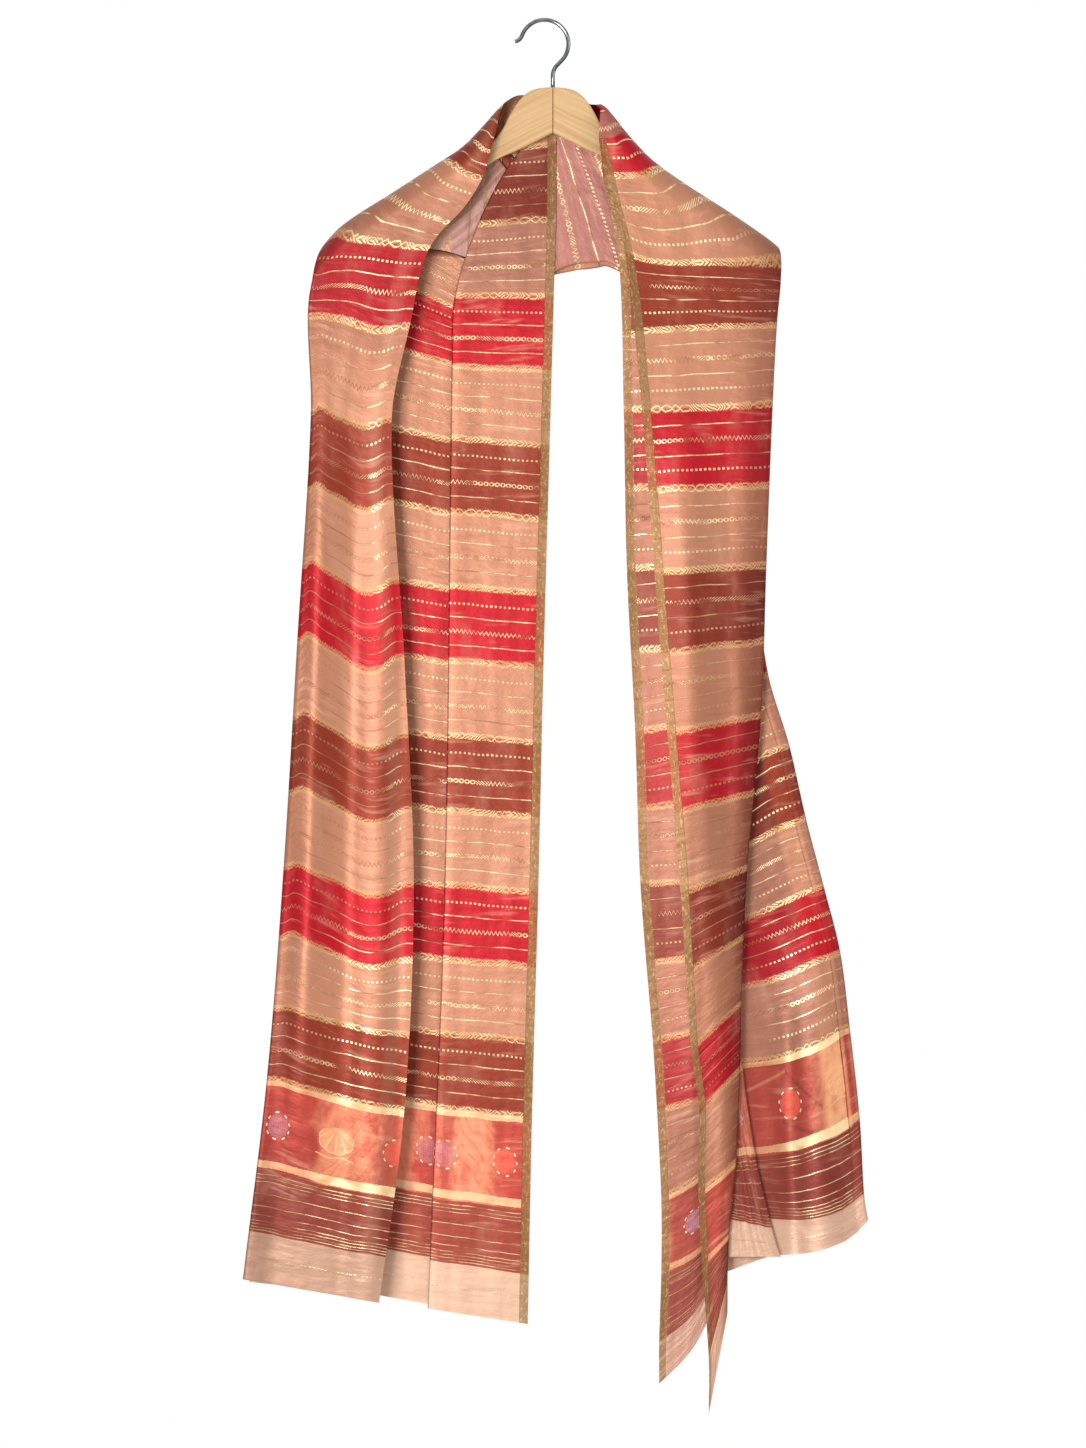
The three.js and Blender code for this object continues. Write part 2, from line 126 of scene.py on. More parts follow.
# Lines along the cloth, each with its place at some lengths from the left end.
# Columns: length, x, drop, face (-1 in front of the arms, 0 on their crest, 1 behind).
lines = {
    "front_edge": [
        (0, -166, 1227, -1), (201, -142, 1043, -1), (423, -133, 827, -1), (645, -142, 611, -1),
        (867, -154, 382, -1), (941, -137, 294, -1), (1015, -118, 219, -1), (1089, -70, 157, -1),
        (1126, -57, 116, -1), (1150, -50, 92, -1), (1163, -45, 76, 0), (1172, -38, 74, 1),
        (1184, -25, 73, 1), (1200, -5, 74, 1), (1225, 26, 77, 1), (1236, 38, 82, 1),
        (1245, 46, 79.5, 0), (1256, 45, 95, -1), (1275, 44, 114, -1),
        (1311, 50, 149, -1), (1385, 69, 223, -1), (1533, 85, 374, -1), (1755, 103, 606, -1),
        (1977, 122, 836, -1), (2125, 132, 985, -1), (2199, 140, 1046, -1), (2273, 139, 1124, -1),
        (2364, 143, 1197, -1), (2426, 149, 1280, -1), (2474, 149, 1334, -1),
    ],
    "first_outer_fold": [
        (0, -296, 1205, -1), (201, -273, 1013, -1), (423, -257, 810, -1), (645, -244, 595, -1),
        (867, -231, 375, -1), (941, -234, 284, -1), (985, -229, 245, -1), (1015, -219, 209, 0),
        (1052, -178, 209, 1), (1089, -127, 217, 1), (1126, -72, 234, 1), (1163, -17, 247, 1),
        (1237, 84, 247, 1), (1311, 160, 238, 1), (1345, 200, 236, 1), (1374, 217, 222, 0),
        (1395, 218, 246, -1), (1459, 214, 292, -1), (1533, 210, 368, -1), (1681, 204, 522, -1),
        (1829, 199, 666, -1), (1977, 186, 811, -1), (2125, 180, 941, -1), (2199, 179, 1003, -1),
        (2273, 175, 1092, -1), (2364, 168, 1168, -1), (2474, 167, 1237, -1),
    ],
    "first_inner_fold": [
        (0, -172, 1222, -1), (423, -140, 826, -1), (867, -161, 380, -1), (941, -144, 291, -1),
        (1015, -126, 222, -1), (1060, -98, 170, -1), (1100, -67, 100, 0), (1132, -48, 116, 1),
        (1163, -26, 138, 1), (1200, 10, 136, 1), (1237, 50, 134, 1), (1265, 66, 130, 1),
        (1288, 74, 116, 0), (1311, 78, 146, -1), (1385, 86, 224, -1), (1533, 95, 366, -1),
        (1755, 112, 562, -1), (1977, 130, 753, -1), (2199, 145, 936, -1), (2273, 148, 1004, -1),
        (2364, 151, 1092, -1), (2474, 153, 1184, -1),
    ],
    "second_outer_fold": [
        (0, -290, 1208, -1), (423, -251, 812, -1), (867, -226, 378, -1), (941, -229, 287, -1),
        (985, -224, 248, -1), (1015, -213, 204, 0), (1052, -172, 204, 1), (1089, -122, 212, 1),
        (1126, -68, 228, 1), (1163, -14, 240, 1), (1237, 86, 240, 1), (1311, 156, 232, 1),
        (1345, 196, 230, 1), (1372, 212, 216, 0), (1395, 213, 243, -1), (1533, 205, 362, -1),
        (1755, 197, 552, -1), (1977, 182, 741, -1), (2199, 177, 930, -1), (2273, 181, 1000, -1),
        (2364, 194, 1088, -1), (2426, 210, 1157, -1), (2474, 218, 1184, -1),
    ],
    "second_inner_fold": [
        (0, -180, 1218, -1), (423, -149, 822, -1), (867, -169, 378, -1), (941, -153, 288, -1),
        (1015, -136, 224, -1), (1060, -106, 180, -1), (1105, -74, 109, 0), (1137, -54, 128, 1),
        (1163, -32, 150, 1), (1200, 8, 148, 1), (1237, 54, 146, 1), (1265, 72, 142, 1),
        (1292, 82, 126, 0), (1311, 87, 152, -1), (1385, 95, 234, -1), (1533, 105, 362, -1),
        (1755, 122, 556, -1), (1977, 141, 750, -1), (2199, 154, 934, -1), (2273, 157, 1002, -1),
        (2364, 159, 1091, -1), (2474, 160, 1182, -1),
    ],
    "wrap_front": [
        (0, -284, 1203, -1), (423, -245, 806, -1), (867, -220, 372, -1), (941, -222, 282, -1),
        (975, -220, 254, -1), (1000, -216, 207, 0), (1025, -200, 216, 1), (1052, -160, 212, 1),
        (1089, -104, 216, 1), (1126, -55, 226, 1), (1163, -18, 224, 1), (1237, 80, 224, 1),
        (1311, 149, 216, 1), (1345, 188, 221, 1), (1366, 202, 206, 0), (1395, 200, 244, -1),
        (1533, 188, 342, -1), (1755, 177, 502, -1), (1829, 178, 563, -1), (1903, 186, 635, -1),
        (1977, 206, 701, -1), (2051, 222, 771, -1), (2125, 239, 836, -1), (2199, 255, 900, -1),
        (2273, 264, 974, -1), (2364, 274, 1068, -1), (2426, 278, 1140, -1), (2474, 282, 1169, -1),
    ],
    "wrap_back": [
        (0, -284, 1203, 1), (423, -245, 806, 1), (867, -220, 372, 1), (941, -220, 290, 1),
        (985, -213, 250, 1), (1025, -193, 220, 1), (1052, -153, 216, 1), (1089, -97, 220, 1),
        (1126, -49, 230, 1), (1163, -16, 235, 1), (1237, 83, 235, 1), (1311, 152, 227, 1),
        (1345, 192, 228, 1), (1369, 207, 211, 0), (1395, 209, 245, -1), (1533, 198, 340, -1),
        (1755, 187, 500, -1), (1829, 187, 559, -1), (1903, 196, 631, -1), (1977, 216, 698, -1),
        (2051, 232, 768, -1), (2125, 249, 833, -1), (2199, 265, 897, -1), (2273, 274, 968, -1),
        (2364, 284, 1062, -1), (2426, 288, 1132, -1), (2474, 292, 1161, -1),
    ],
    "tail_edge": [
        (0, -42, 1246, 1), (423, -32, 842, 1), (867, -24, 418, 1), (941, -21, 352, 1),
        (1015, -20, 300, 1), (1089, -19, 268, 1), (1163, -10, 248, 1), (1237, 87, 247, 1),
        (1311, 156, 238, 1), (1345, 197, 236, 1), (1372, 214, 218, 0), (1395, 217, 246, -1),
        (1533, 208, 338, -1), (1755, 197, 497, -1), (1829, 197, 555, -1), (1903, 206, 627, -1),
        (1977, 226, 694, -1), (2051, 242, 764, -1), (2125, 259, 829, -1), (2199, 275, 893, -1),
        (2273, 284, 964, -1), (2364, 294, 1054, -1), (2426, 298, 1124, -1), (2474, 302, 1150, -1),
    ],
    "neck_fold": [
        (0, -120, 1236, 1), (423, -104, 828, 1), (867, -98, 398, 1), (941, -97, 330, 1),
        (1015, -94, 262, 1), (1089, -72, 193, 1), (1163, -31, 121, 1), (1185, -12, 104, 1),
        (1200, -2, 98, 1), (1220, 16, 98, 1), (1240, 38, 104, 1), (1262, 56, 88, 0),
        (1285, 70, 128, -1), (1311, 80, 153, -1), (1385, 98, 227, -1), (1533, 106, 371, -1),
        (1755, 112, 600, -1), (1977, 129, 825, -1), (2125, 146, 965, -1), (2273, 158, 1088, -1),
        (2474, 160, 1202, -1),
    ],
    "back_edge": [
        (0, -24, 1251, 1), (201, -20, 1052, 1), (423, -14, 836, 1), (645, -9, 620, 1),
        (867, -3, 406, 1), (1015, 1, 262, 1), (1089, 3, 188, 1), (1163, 3.5, 115, 1),
        (1200, 7, 83, 1), (1222, 24, 87, 1), (1238, 36, 93, 1), (1250, 45, 78, 0),
        (1265, 46, 106, -1),
        (1311, 48, 150, -1), (1385, 63, 226, -1), (1533, 68, 373, -1), (1681, 71, 525, -1),
        (1829, 79, 682, -1), (1977, 84, 827, -1), (2125, 96, 980, -1), (2199, 100, 1045, -1),
        (2273, 104, 1129, -1), (2364, 104, 1203, -1), (2426, 102, 1268, -1), (2474, 102, 1307, -1),
    ],
}

# Layers of the pleated cloth from the front: two lines, points across, steps from the wood
layers = [
    ("front_edge", "first_outer_fold", 44, 6),
    ("first_outer_fold", "first_inner_fold", 12, 5),
    ("first_inner_fold", "second_outer_fold", 12, 4),
    ("second_outer_fold", "second_inner_fold", 14, 3),
    ("second_inner_fold", "wrap_front", 28, 2),
    ("wrap_back", "tail_edge", 8, 2),
    ("tail_edge", "neck_fold", 22, 1),
    ("neck_fold", "back_edge", 14, 0),
]

# Long soft folds of the hanging panels, the first four as in the solids.
# Columns: x and drop at the top, x and drop at the bottom, half width, height towards the viewer.
folds = [
    (-212, 300, -240, 1000, 24, 7),
    (-160, 300, -176, 1250, 26, 5),
    (120, 300, 150, 1000, 26, 6),
    (246, 820, 264, 1250, 24, 8),
    (-216, 250, -236, 900, 9, 1.6),
    (-186, 260, -200, 1180, 13, -2),
    (-148, 420, -150, 1180, 8, -1.6),
    (-250, 700, -268, 1220, 13, -2),
    (150, 240, 160, 900, 14, -1),
    (188, 250, 178, 820, 12, 1),
    (134, 640, 150, 1240, 10, -1.4),
    (222, 900, 232, 1200, 10, -3),
    (274, 880, 286, 1180, 9, -2),
]

# How far the stripes of the left front panel sag between its edges.
# Columns: length, sag about a third of the way from the inner edge, arch near the outer fold.
left_sag = [
    (0, 0, 0), (110, 2, 1), (201, 2, 2), (275, 3, 4), (349, 14, 6), (423, 16, 5), (497, 18, 5),
    (571, 18, 6), (645, 18, 7), (719, 16, 7), (793, 14, 6), (867, 10, 6), (941, 8, 5), (1015, 0, 0),
]

# Middle and half width of that sag and that arch, as parts of the panel's width
SAG_PLACE = (0.36, 0.26)
ARCH_PLACE = (0.9, 0.1)


def smoothstep(low, high, value):
    t = np.clip((value - low) / (high - low), 0, 1)
    return t * t * (3 - 2 * t)


def mix(a, b, t):
    return a + (b - a) * t


def swell(at, middle, half):
    """A smooth rise, 1 at its middle."""
    return np.exp(-(((at - middle) / half) ** 2))


def through(rows, column, at):
    """Smooth curve through the rows of a table, by its first column."""
    place = np.array([row[0] for row in rows], float)
    value = np.array([row[column] for row in rows], float)
    last = len(rows) - 1
    before = np.maximum(np.arange(last + 1) - 1, 0)
    after = np.minimum(np.arange(last + 1) + 1, last)
    slope = (value[after] - value[before]) / (place[after] - place[before])
    at = np.asarray(at, float)
    i = np.clip(np.searchsorted(place, at, side="right") - 1, 0, last - 1)
    span = place[i + 1] - place[i]
    t = np.clip((at - place[i]) / span, 0, 1)
    curve = (
        (2 * t**3 - 3 * t**2 + 1) * value[i]
        + (t**3 - 2 * t**2 + t) * span * slope[i]
        + (3 * t**2 - 2 * t**3) * value[i + 1]
        + (t**3 - t**2) * span * slope[i + 1]
    )
    beyond = np.minimum(at - place[0], 0) * slope[0] + np.maximum(at - place[last], 0) * slope[last]
    return curve + beyond


def crest(x):
    return through(crest_line, 1, x)


# Each line as length, x and the distance past the crest, negative in front
paths = {
    name: [(length, x, face * (drop - float(crest(x)))) for length, x, drop, face in rows]
    for name, rows in lines.items()
}


def panel_sag(layer, t, length):
    """How far a point hangs below the straight line between its layer's edges."""
    if layer[0] == "front_edge":
        inner = through(left_sag, 1, length) * swell(t, *SAG_PLACE) * smoothstep(0, 0.2, t)
        arch = through(left_sag, 2, length) * swell(t, *ARCH_PLACE) * smoothstep(0, 0.08, 1 - t)
        return (inner - arch) * (length < LEFT_PANEL_TOP)
    if layer[0] == "second_inner_fold":
        return TAIL_SAG * np.sin(math.pi * t**1.4) * smoothstep(*TAIL_SAG_GROWS, length)
    if layer[0] == "neck_fold":
        return UNDER_SAG * np.sin(math.pi * t**0.6) * smoothstep(*UNDER_SAG_GROWS, length)
    return 0 * length


def across_layer(layer, t, length, inset):
    """Place on a layer, as x and the distance past the crest, a little short of its folds."""
    (near_x, near_past), (far_x, far_past) = (
        (through(paths[name], 1, length), through(paths[name], 2, length)) for name in layer[:2]
    )
    margin = inset / np.hypot(far_x - near_x, far_past - near_past)
    low = 0 if layer[0] == "front_edge" else margin
    high = 1 if layer[1] == "back_edge" else 1 - margin
    along = mix(low, high, t)
    x = mix(near_x, far_x, along)
    direct = mix(near_past, far_past, along)
    near_drop = crest(near_x) + np.abs(near_past)
    far_drop = crest(far_x) + np.abs(far_past)
    side = np.sign(near_past)
    level = side * (mix(near_drop, far_drop, along) - crest(x))
    weight = smoothstep(*LEVEL_FADE, np.minimum(np.abs(near_past), np.abs(far_past)))
    past = np.where(near_past * far_past <= 0, direct, mix(direct, level, weight))
    hanging = smoothstep(*RELIEF_FADE, np.abs(past))
    return x, past + np.sign(past) * panel_sag(layer, t, length) * hanging


def relief_at(x, drop):
    total = np.zeros_like(x)
    for top_x, top_drop, bottom_x, bottom_drop, half, height in folds:
        along = (drop - top_drop) / (bottom_drop - top_drop)
        middle = mix(top_x, bottom_x, along)
        fade = smoothstep(0, 0.35, along) * (1 - smoothstep(0.85, 1.25, along))
        total += height * fade * swell(x, middle, half)
    return total


def placed(x, past, steps):
    """Points in space of a column of the sheet that lies some steps from the wood."""
    far = np.abs(past)
    face = np.sign(past)
    near_neck = 1 - smoothstep(NECK_HALF, SHOULDER_START, np.abs(x))
    squeeze = NECK_SQUEEZE * near_neck * (1 - smoothstep(*SQUEEZE_FADE, far))
    level = steps - squeeze * np.maximum(0, steps - 2)
    reach = INNER_REACH + LAYER_STEP * level
    hanging = np.where(face < 0, HANGING_REACH + HANGING_STEP * steps, BACK_REACH + BACK_STEP * steps)
    depth = mix(reach, hanging, smoothstep(*HANG_FADE, far))
    apex_step = mix(APEX_STEP_LEFT, APEX_STEP_RIGHT, smoothstep(-70, 30, x))
    top = OUTERMOST - squeeze * (OUTERMOST - 2)
    rise = reach + apex_step * (top - level)
    turn = np.clip(past / rise, -1, 1) * math.pi / 2
    over = far < rise
    y = np.where(over, reach * np.sin(turn), face * depth)
    drop = crest(x) + np.where(over, rise - reach * np.cos(turn), far)
    y = y - np.where(face < 0, relief_at(x, drop) * smoothstep(*RELIEF_FADE, far), 0)
    return np.stack([CENTRE_X + x, y, -drop], axis=1)


def steps_at(layer, t, length):
    """Steps from the wood. On the right the last two layers meet at the fold that they share."""
    closed = CLOSING_STEP * smoothstep(*NECK_CLOSES, length)
    if layer[1] == "neck_fold":
        return layer[3] - closed * t
    if layer[0] == "neck_fold":
        return layer[3] + closed * (1 - t)
    return layer[3] + 0 * length


def column(layer, t, length, inset):
    return placed(*across_layer(layer, t, length, inset), steps_at(layer, t, length))


def fold_columns(layer, following, last, length):
    """The round back of a fold, between the last column of one layer and the first of the next."""
    end, start = column(layer, 1, length, 0), column(following, 0, length, 0)
    inset_end, inset_start = (
        column(layer, 1, length, FOLD_INSET),
        column(following, 0, length, FOLD_INSET),
    )
    outward = end - last
    outward /= np.linalg.norm(outward, axis=1, keepdims=True)
    gap = np.linalg.norm(end - start, axis=1, keepdims=True)
    bulge = FOLD_INSET + np.clip(gap / 2 - 2, 0, FOLD_BULGE)
    if following[0] == "wrap_back":
        bulge = bulge * (1 - smoothstep(*WRAP_FLATTENS, length))[:, None]
    for angle in (45, 90, 135):
        turn = math.radians(angle)
        middle = (inset_end + inset_start) / 2 + (inset_end - inset_start) / 2 * math.cos(turn)
        yield middle + outward * bulge * math.sin(turn)


def cloth_lengths():
    """Stations along the cloth, closer together over the arms."""
    left = np.linspace(0, ARMS_FROM, STATIONS[0])
    arms = np.linspace(ARMS_FROM, ARMS_TO, STATIONS[1])
    right = np.linspace(ARMS_TO, CLOTH_LENGTH, STATIONS[2])
    return np.concatenate([left, arms[1:], right[1:]])


def cloth_columns(length):
    columns = []
    for order, layer in enumerate(layers):
        if order > 0:
            columns.extend(fold_columns(layers[order - 1], layer, columns[-2], length))
        for t in np.linspace(0, 1, layer[2]):
            columns.append(column(layer, t, length, FOLD_INSET))
    return np.array(columns)


def across_widths(columns):
    """Distance of each point from the first edge of the cloth, true near both edges."""
    steps = np.linalg.norm(np.diff(columns, axis=0), axis=2)
    from_front = np.vstack([np.zeros(columns.shape[1]), np.cumsum(steps, axis=0)])
    from_back = CLOTH_WIDTH - (from_front[-1] - from_front)
    visible = layers[0][2] + layers[1][2]
    hidden = layers[2][2] + layers[3][2]
    blend = smoothstep(visible, visible + hidden, np.arange(len(columns)))[:, None]
    return mix(from_front, from_back, blend)


def pattern_lengths(length, across):
    """Place of each point in the pattern: its length, with straight rows at both shoulders in front.

    The rows are level on the right shoulder and slanted on the left.
    """
    places = np.tile(length, (across, 1))
    front = layers[0]
    for i, t in enumerate(np.linspace(0, 1, front[2])):
        x, past = across_layer(front, t, length, FOLD_INSET)
        in_view = 1 - smoothstep(*ROWS_END, past)
        drop = crest(x) - past
        left = LEFT_BAND[0] + LEFT_BAND[2] - drop + ROW_SLOPE * (x - LEFT_BAND[1])
        left_weight = smoothstep(*LEFT_ROWS[0], x) * (x < 0) * smoothstep(*LEFT_ROWS[1], length)
        right = RIGHT_BAND[0] - RIGHT_BAND[2] + drop
        on_right = (1 - smoothstep(*RIGHT_ROWS[0], x)) * (x > 0)
        right_weight = on_right * (1 - smoothstep(*RIGHT_ROWS[1], length))
        places[i] = mix(places[i], left, left_weight * in_view)
        places[i] = mix(places[i], right, right_weight * in_view)
    return places


def fold_places():
    """Each column's place across its own layer, from 0 to 1, and the layer's order."""
    places = []
    for order, layer in enumerate(layers):
        if order > 0:
            places.extend([(1, order - 1)] * 3)
        places.extend((t, order) for t in np.linspace(0, 1, layer[2]))
    return places


def make_dupatta():
    """The draped sheet, with its place in the weave in metres and its place in the folds."""
    length = cloth_lengths()
    columns = cloth_columns(length)
    width = across_widths(columns)
    pattern = pattern_lengths(length, len(columns))
    places = fold_places()
    across, along = len(columns), len(length)
    sheet = bmesh.new()
    bmesh.ops.create_grid(sheet, x_segments=across - 1, y_segments=along - 1, size=1)
    weave = sheet.loops.layers.uv.new("weave")
    fold = sheet.loops.layers.uv.new("fold")
    sheet.verts.ensure_lookup_table()
    in_weave, in_fold = {}, {}
    for vertex in sheet.verts:
        i = round((vertex.co.x + 1) / 2 * (across - 1))
        j = round((vertex.co.y + 1) / 2 * (along - 1))
        in_weave[vertex] = (pattern[i, j] * MM, width[i, j] * MM)
        in_fold[vertex] = (places[i][0], (places[i][1] + 0.5) / len(layers))
        vertex.co = Vector(columns[i, j]) * MM
    for face in sheet.faces:
        face.smooth = True
        for loop in face.loops:
            loop[weave].uv = in_weave[loop.vert]
            loop[fold].uv = in_fold[loop.vert]
    bmesh.ops.reverse_faces(sheet, faces=sheet.faces)
    return finished(sheet, "silk_dupatta")


def finished(shape, name):
    """A new object at the origin from a bmesh."""
    mesh = bpy.data.meshes.new(name)
    shape.to_mesh(mesh)
    shape.free()
    piece = bpy.data.objects.new(name, mesh)
    bpy.context.scene.collection.objects.link(piece)
    return piece


# Hook
WIRE_RADIUS = 2
RING_POINTS = 20
BOWL_RADIUS = 23
SHANK_FOOT = 82
SHANK_TOP = 51.5
NECK_RADIUS = 14
NECK_TURN = 44
NECK_RUN = 6.63
BOWL_TURN = 204
TIP_RADIUS = 9
TIP_TURN = 58


def make_hook():
    """Wire bent from a ring: shank, small bend, straight, bowl and a tip turned out."""
    wire = bmesh.new()
    ring = bmesh.ops.create_circle(
        wire, cap_ends=True, segments=RING_POINTS, radius=WIRE_RADIUS * MM
    )["verts"]
    place = Vector((CENTRE_X, 0, -SHANK_FOOT)) * MM
    heading = Vector((0, 0, 1))
    bmesh.ops.translate(wire, verts=ring, vec=place)
    edges = [edge for edge in wire.edges if edge.is_boundary]
    across = Vector((0, 1, 0))

    def run(distance):
        nonlocal edges, place
        made = bmesh.ops.extrude_edge_only(wire, edges=edges)["geom"]
        moved = [item for item in made if isinstance(item, bmesh.types.BMVert)]
        bmesh.ops.translate(wire, verts=moved, vec=heading * distance * MM)
        edges = [item for item in made if isinstance(item, bmesh.types.BMEdge) and item.is_boundary]
        place = place + heading * distance * MM

    def bend(radius, degrees, steps):
        """Turns to the right for a positive angle, seen from the front."""
        nonlocal edges, place, heading
        side = across.cross(heading) * (1 if degrees > 0 else -1)
        centre = place + side * radius * MM
        turn = math.radians(degrees)
        made = bmesh.ops.spin(
            wire, geom=edges, cent=centre, axis=across, angle=turn, steps=steps, use_merge=False
        )["geom_last"]
        edges = [item for item in made if isinstance(item, bmesh.types.BMEdge)]
        corners = [item.co for item in made if isinstance(item, bmesh.types.BMVert)]
        place = sum(corners, Vector()) / RING_POINTS
        heading.rotate(Quaternion(across, turn))

    run(SHANK_FOOT - SHANK_TOP)
    bend(NECK_RADIUS, NECK_TURN, 10)
    run(NECK_RUN)
    bend(BOWL_RADIUS, -BOWL_TURN, 56)
    bend(TIP_RADIUS, TIP_TURN, 10)
    bmesh.ops.contextual_create(wire, geom=edges)
    bmesh.ops.recalc_face_normals(wire, faces=wire.faces)
    for face in wire.faces:
        face.smooth = len(face.verts) == 4
    return finished(wire, "wire_hook")


# Finishes


def tint(red, green, blue):
    """A colour by its eye values from 0 to 255, as the shader's linear one."""
    return tuple(
        (v / 255 / 12.92 if v / 255 <= 0.04045 else ((v / 255 + 0.055) / 1.055) ** 2.4)
        for v in (red, green, blue)
    ) + (1,)


class Link:
    """An output in a material, on which arithmetic adds Math nodes."""

    def __init__(self, finish, socket):
        self.finish = finish
        self.socket = socket

    def math(self, operation, *values):
        return self.finish.node("ShaderNodeMath", {"operation": operation}, dict(enumerate(values)))

    def __add__(self, other):
        return self.math("ADD", self, other)

    __radd__ = __add__

    def __sub__(self, other):
        return self.math("SUBTRACT", self, other)

    def __rsub__(self, other):
        return self.math("SUBTRACT", other, self)

    def __mul__(self, other):
        return self.math("MULTIPLY", self, other)

    __rmul__ = __mul__

    def __truediv__(self, other):
        return self.math("DIVIDE", self, other)

    def __lt__(self, other):
        return self.math("LESS_THAN", self, other)

    def __gt__(self, other):
        return self.math("GREATER_THAN", self, other)

    def __abs__(self):
        return self.math("ABSOLUTE", self)

    def __mod__(self, other):
        return self.math("FLOORED_MODULO", self, other)

    def lowest(self, other):
        return self.math("MINIMUM", self, other)

    def highest(self, other):
        return self.math("MAXIMUM", self, other)

    def floor(self):
        return self.math("FLOOR", self)

    def root(self):
        return self.math("SQRT", self)

    def wave(self):
        return self.math("SINE", self)

    def lean(self, other):
        return self.math("ARCTAN2", self, other)

    def part(self):
        return self.math("FRACT", self)

    def rising(self, low, high):
        """0 below low, 1 above high, smooth between."""
        values = {"Value": self, "From Min": low, "From Max": high}
        return self.finish.node("ShaderNodeMapRange", {"interpolation_type": "SMOOTHSTEP"}, values)

    def within(self, half, soft=0.35):
        """1 where the value is nearer to zero than half, with a soft edge."""
        return 1 - abs(self).rising(half - soft / 2, half + soft / 2)


class Finish:
    """A material and the one way its nodes are made."""

    def __init__(self, name, **constants):
        self.material = bpy.data.materials.new(name)
        self.material.use_nodes = True
        self.tree = self.material.node_tree
        self.shader = self.tree.nodes["Principled BSDF"]
        for socket, value in constants.items():
            self.shader.inputs[socket.replace("_", " ")].default_value = value

    def node(self, kind, settings, values, output=0):
        made = self.tree.nodes.new(kind)
        for name, value in settings.items():
            if name == "stops":
                self.set_stops(made.color_ramp, value)
            else:
                setattr(made, name, value)
        for key, value in values.items():
            self.feed(made.inputs[key], value)
        return Link(self, made.outputs[output])

    def feed(self, socket, value):
        if isinstance(value, Link):
            self.tree.links.new(value.socket, socket)
        else:
            socket.default_value = value

    @staticmethod
    def set_stops(ramp, stops):
        while len(ramp.elements) < len(stops):
            ramp.elements.new(0.5)
        for element, (position, colour) in zip(ramp.elements, stops):
            element.position = position
            element.color = colour

    def blend(self, factor, a, b, way="MIX"):
        settings = {"data_type": "RGBA", "blend_type": way}
        return self.node("ShaderNodeMix", settings, {0: factor, 6: a, 7: b}, output=2)

    def steps(self, place, colours):
        """One colour after another, as place goes from 0 to 1."""
        stops = [(i / len(colours), colour) for i, colour in enumerate(colours)]
        ramp = self.node("ShaderNodeValToRGB", {"stops": stops}, {0: place})
        ramp.socket.node.color_ramp.interpolation = "CONSTANT"
        return ramp

    def parts(self, vector):
        """The three numbers of a vector."""
        split = self.node("ShaderNodeSeparateXYZ", {}, {0: vector}).socket.node
        return [Link(self, output) for output in split.outputs]

    def vector(self, x, y, z=0):
        return self.node("ShaderNodeCombineXYZ", {}, {0: x, 1: y, 2: z})

    def noise(self, place, scale, detail=2, roughness=0.5):
        values = {"Vector": place, "Scale": scale, "Detail": detail, "Roughness": roughness}
        return self.node("ShaderNodeTexNoise", {}, values)

    def set(self, **values):
        for socket, value in values.items():
            self.feed(self.shader.inputs[socket.replace("_", " ")], value)


# Colours of the stripes and of the ends, with the painted highlights and painted light laid over them
RED = tint(188, 12, 30)
ROSE = tint(195, 132, 102)
BROWN = tint(144, 51, 29)
END_BROWN = tint(158, 66, 50)
RUST = tint(186, 66, 52)
# Painted satin highlights of the rust bands, a soft one and a bright one
RUST_SOFT_HIGHLIGHT = tint(240, 148, 110)
RUST_BRIGHT_HIGHLIGHT = tint(255, 192, 138)
HEM = tint(220, 178, 150)
# Painted satin highlight, blended over the stripes
SATIN_HIGHLIGHT = tint(255, 206, 172)
TURNED_ROSE = tint(172, 108, 96)
NECK_PINK = tint(182, 116, 116)
# Painted satin highlight of the cloth in the V of the neck
NECK_SATIN_HIGHLIGHT = tint(206, 168, 156)
# Painted light of the sheer under layer at the right
UNDER_PAINTED_LIGHT = tint(240, 160, 138)

# Colours that shade the cloth where they are multiplied over it
FOLD_SHADE = tint(120, 60, 56)
EDGE_SHADE = tint(140, 84, 66)
TAIL_SHADE = tint(206, 196, 208)
UNDER_SHADE = tint(226, 218, 222)
LEFT_END_SHADE = tint(214, 206, 204)

# Metal threads, selvedges and woven buds
# Pale gold: the real colour of pale threads in the selvedges and buds, and the painted glint of the metal
# threads
PALE_GOLD_AND_GLINT = tint(255, 230, 176)
THREAD_DULL = tint(150, 88, 44)
BAND_DULL = tint(196, 146, 92)
BAND_GROUND = tint(222, 168, 116)
SELVEDGE = tint(130, 100, 54)
CORAL, CREAM, LILAC = tint(234, 96, 76), tint(250, 190, 136), tint(188, 134, 158)

# Wood, wire and floor, and how many degrees the grain slopes along the arms
MAPLE, MAPLE_RING, MAPLE_FIBRE = tint(226, 187, 130), tint(208, 160, 104), tint(176, 124, 78)
CHROME, CHROME_WORN = tint(158, 161, 168), tint(116, 119, 126)
FLOOR_WHITE = tint(245, 245, 245)
GRAIN_SLOPE = 26

# Layers that have looks of their own, by their order in the table of layers
FRONT, TAIL, TAIL_BACK, NECK_BACK, UNDER = 0, 4, 5, 6, 7
MIDDLE_LENGTH = 1200

# Distance of the left panel's bright ridge from its edge
LEFT_RIDGE = 17

# Orders in the fold map, from 0 to 1, where the layers behind the front panel start and end,
# and where the back of the tail starts
BEHIND_FROM, BEHIND_TO = 0.12, 0.88
TAIL_BACK_FROM = 0.6

# Stretches of the cloth with looks of their own: middle length, half of it, softness
TURNED_PATCH = (1265, 10.5, 2)
NECK_PEAK = (1228, 12, 3)
NECK_PEAK_UNDER = (1248, 11, 3)
BEHIND_NECK = (1205, 60, 10)
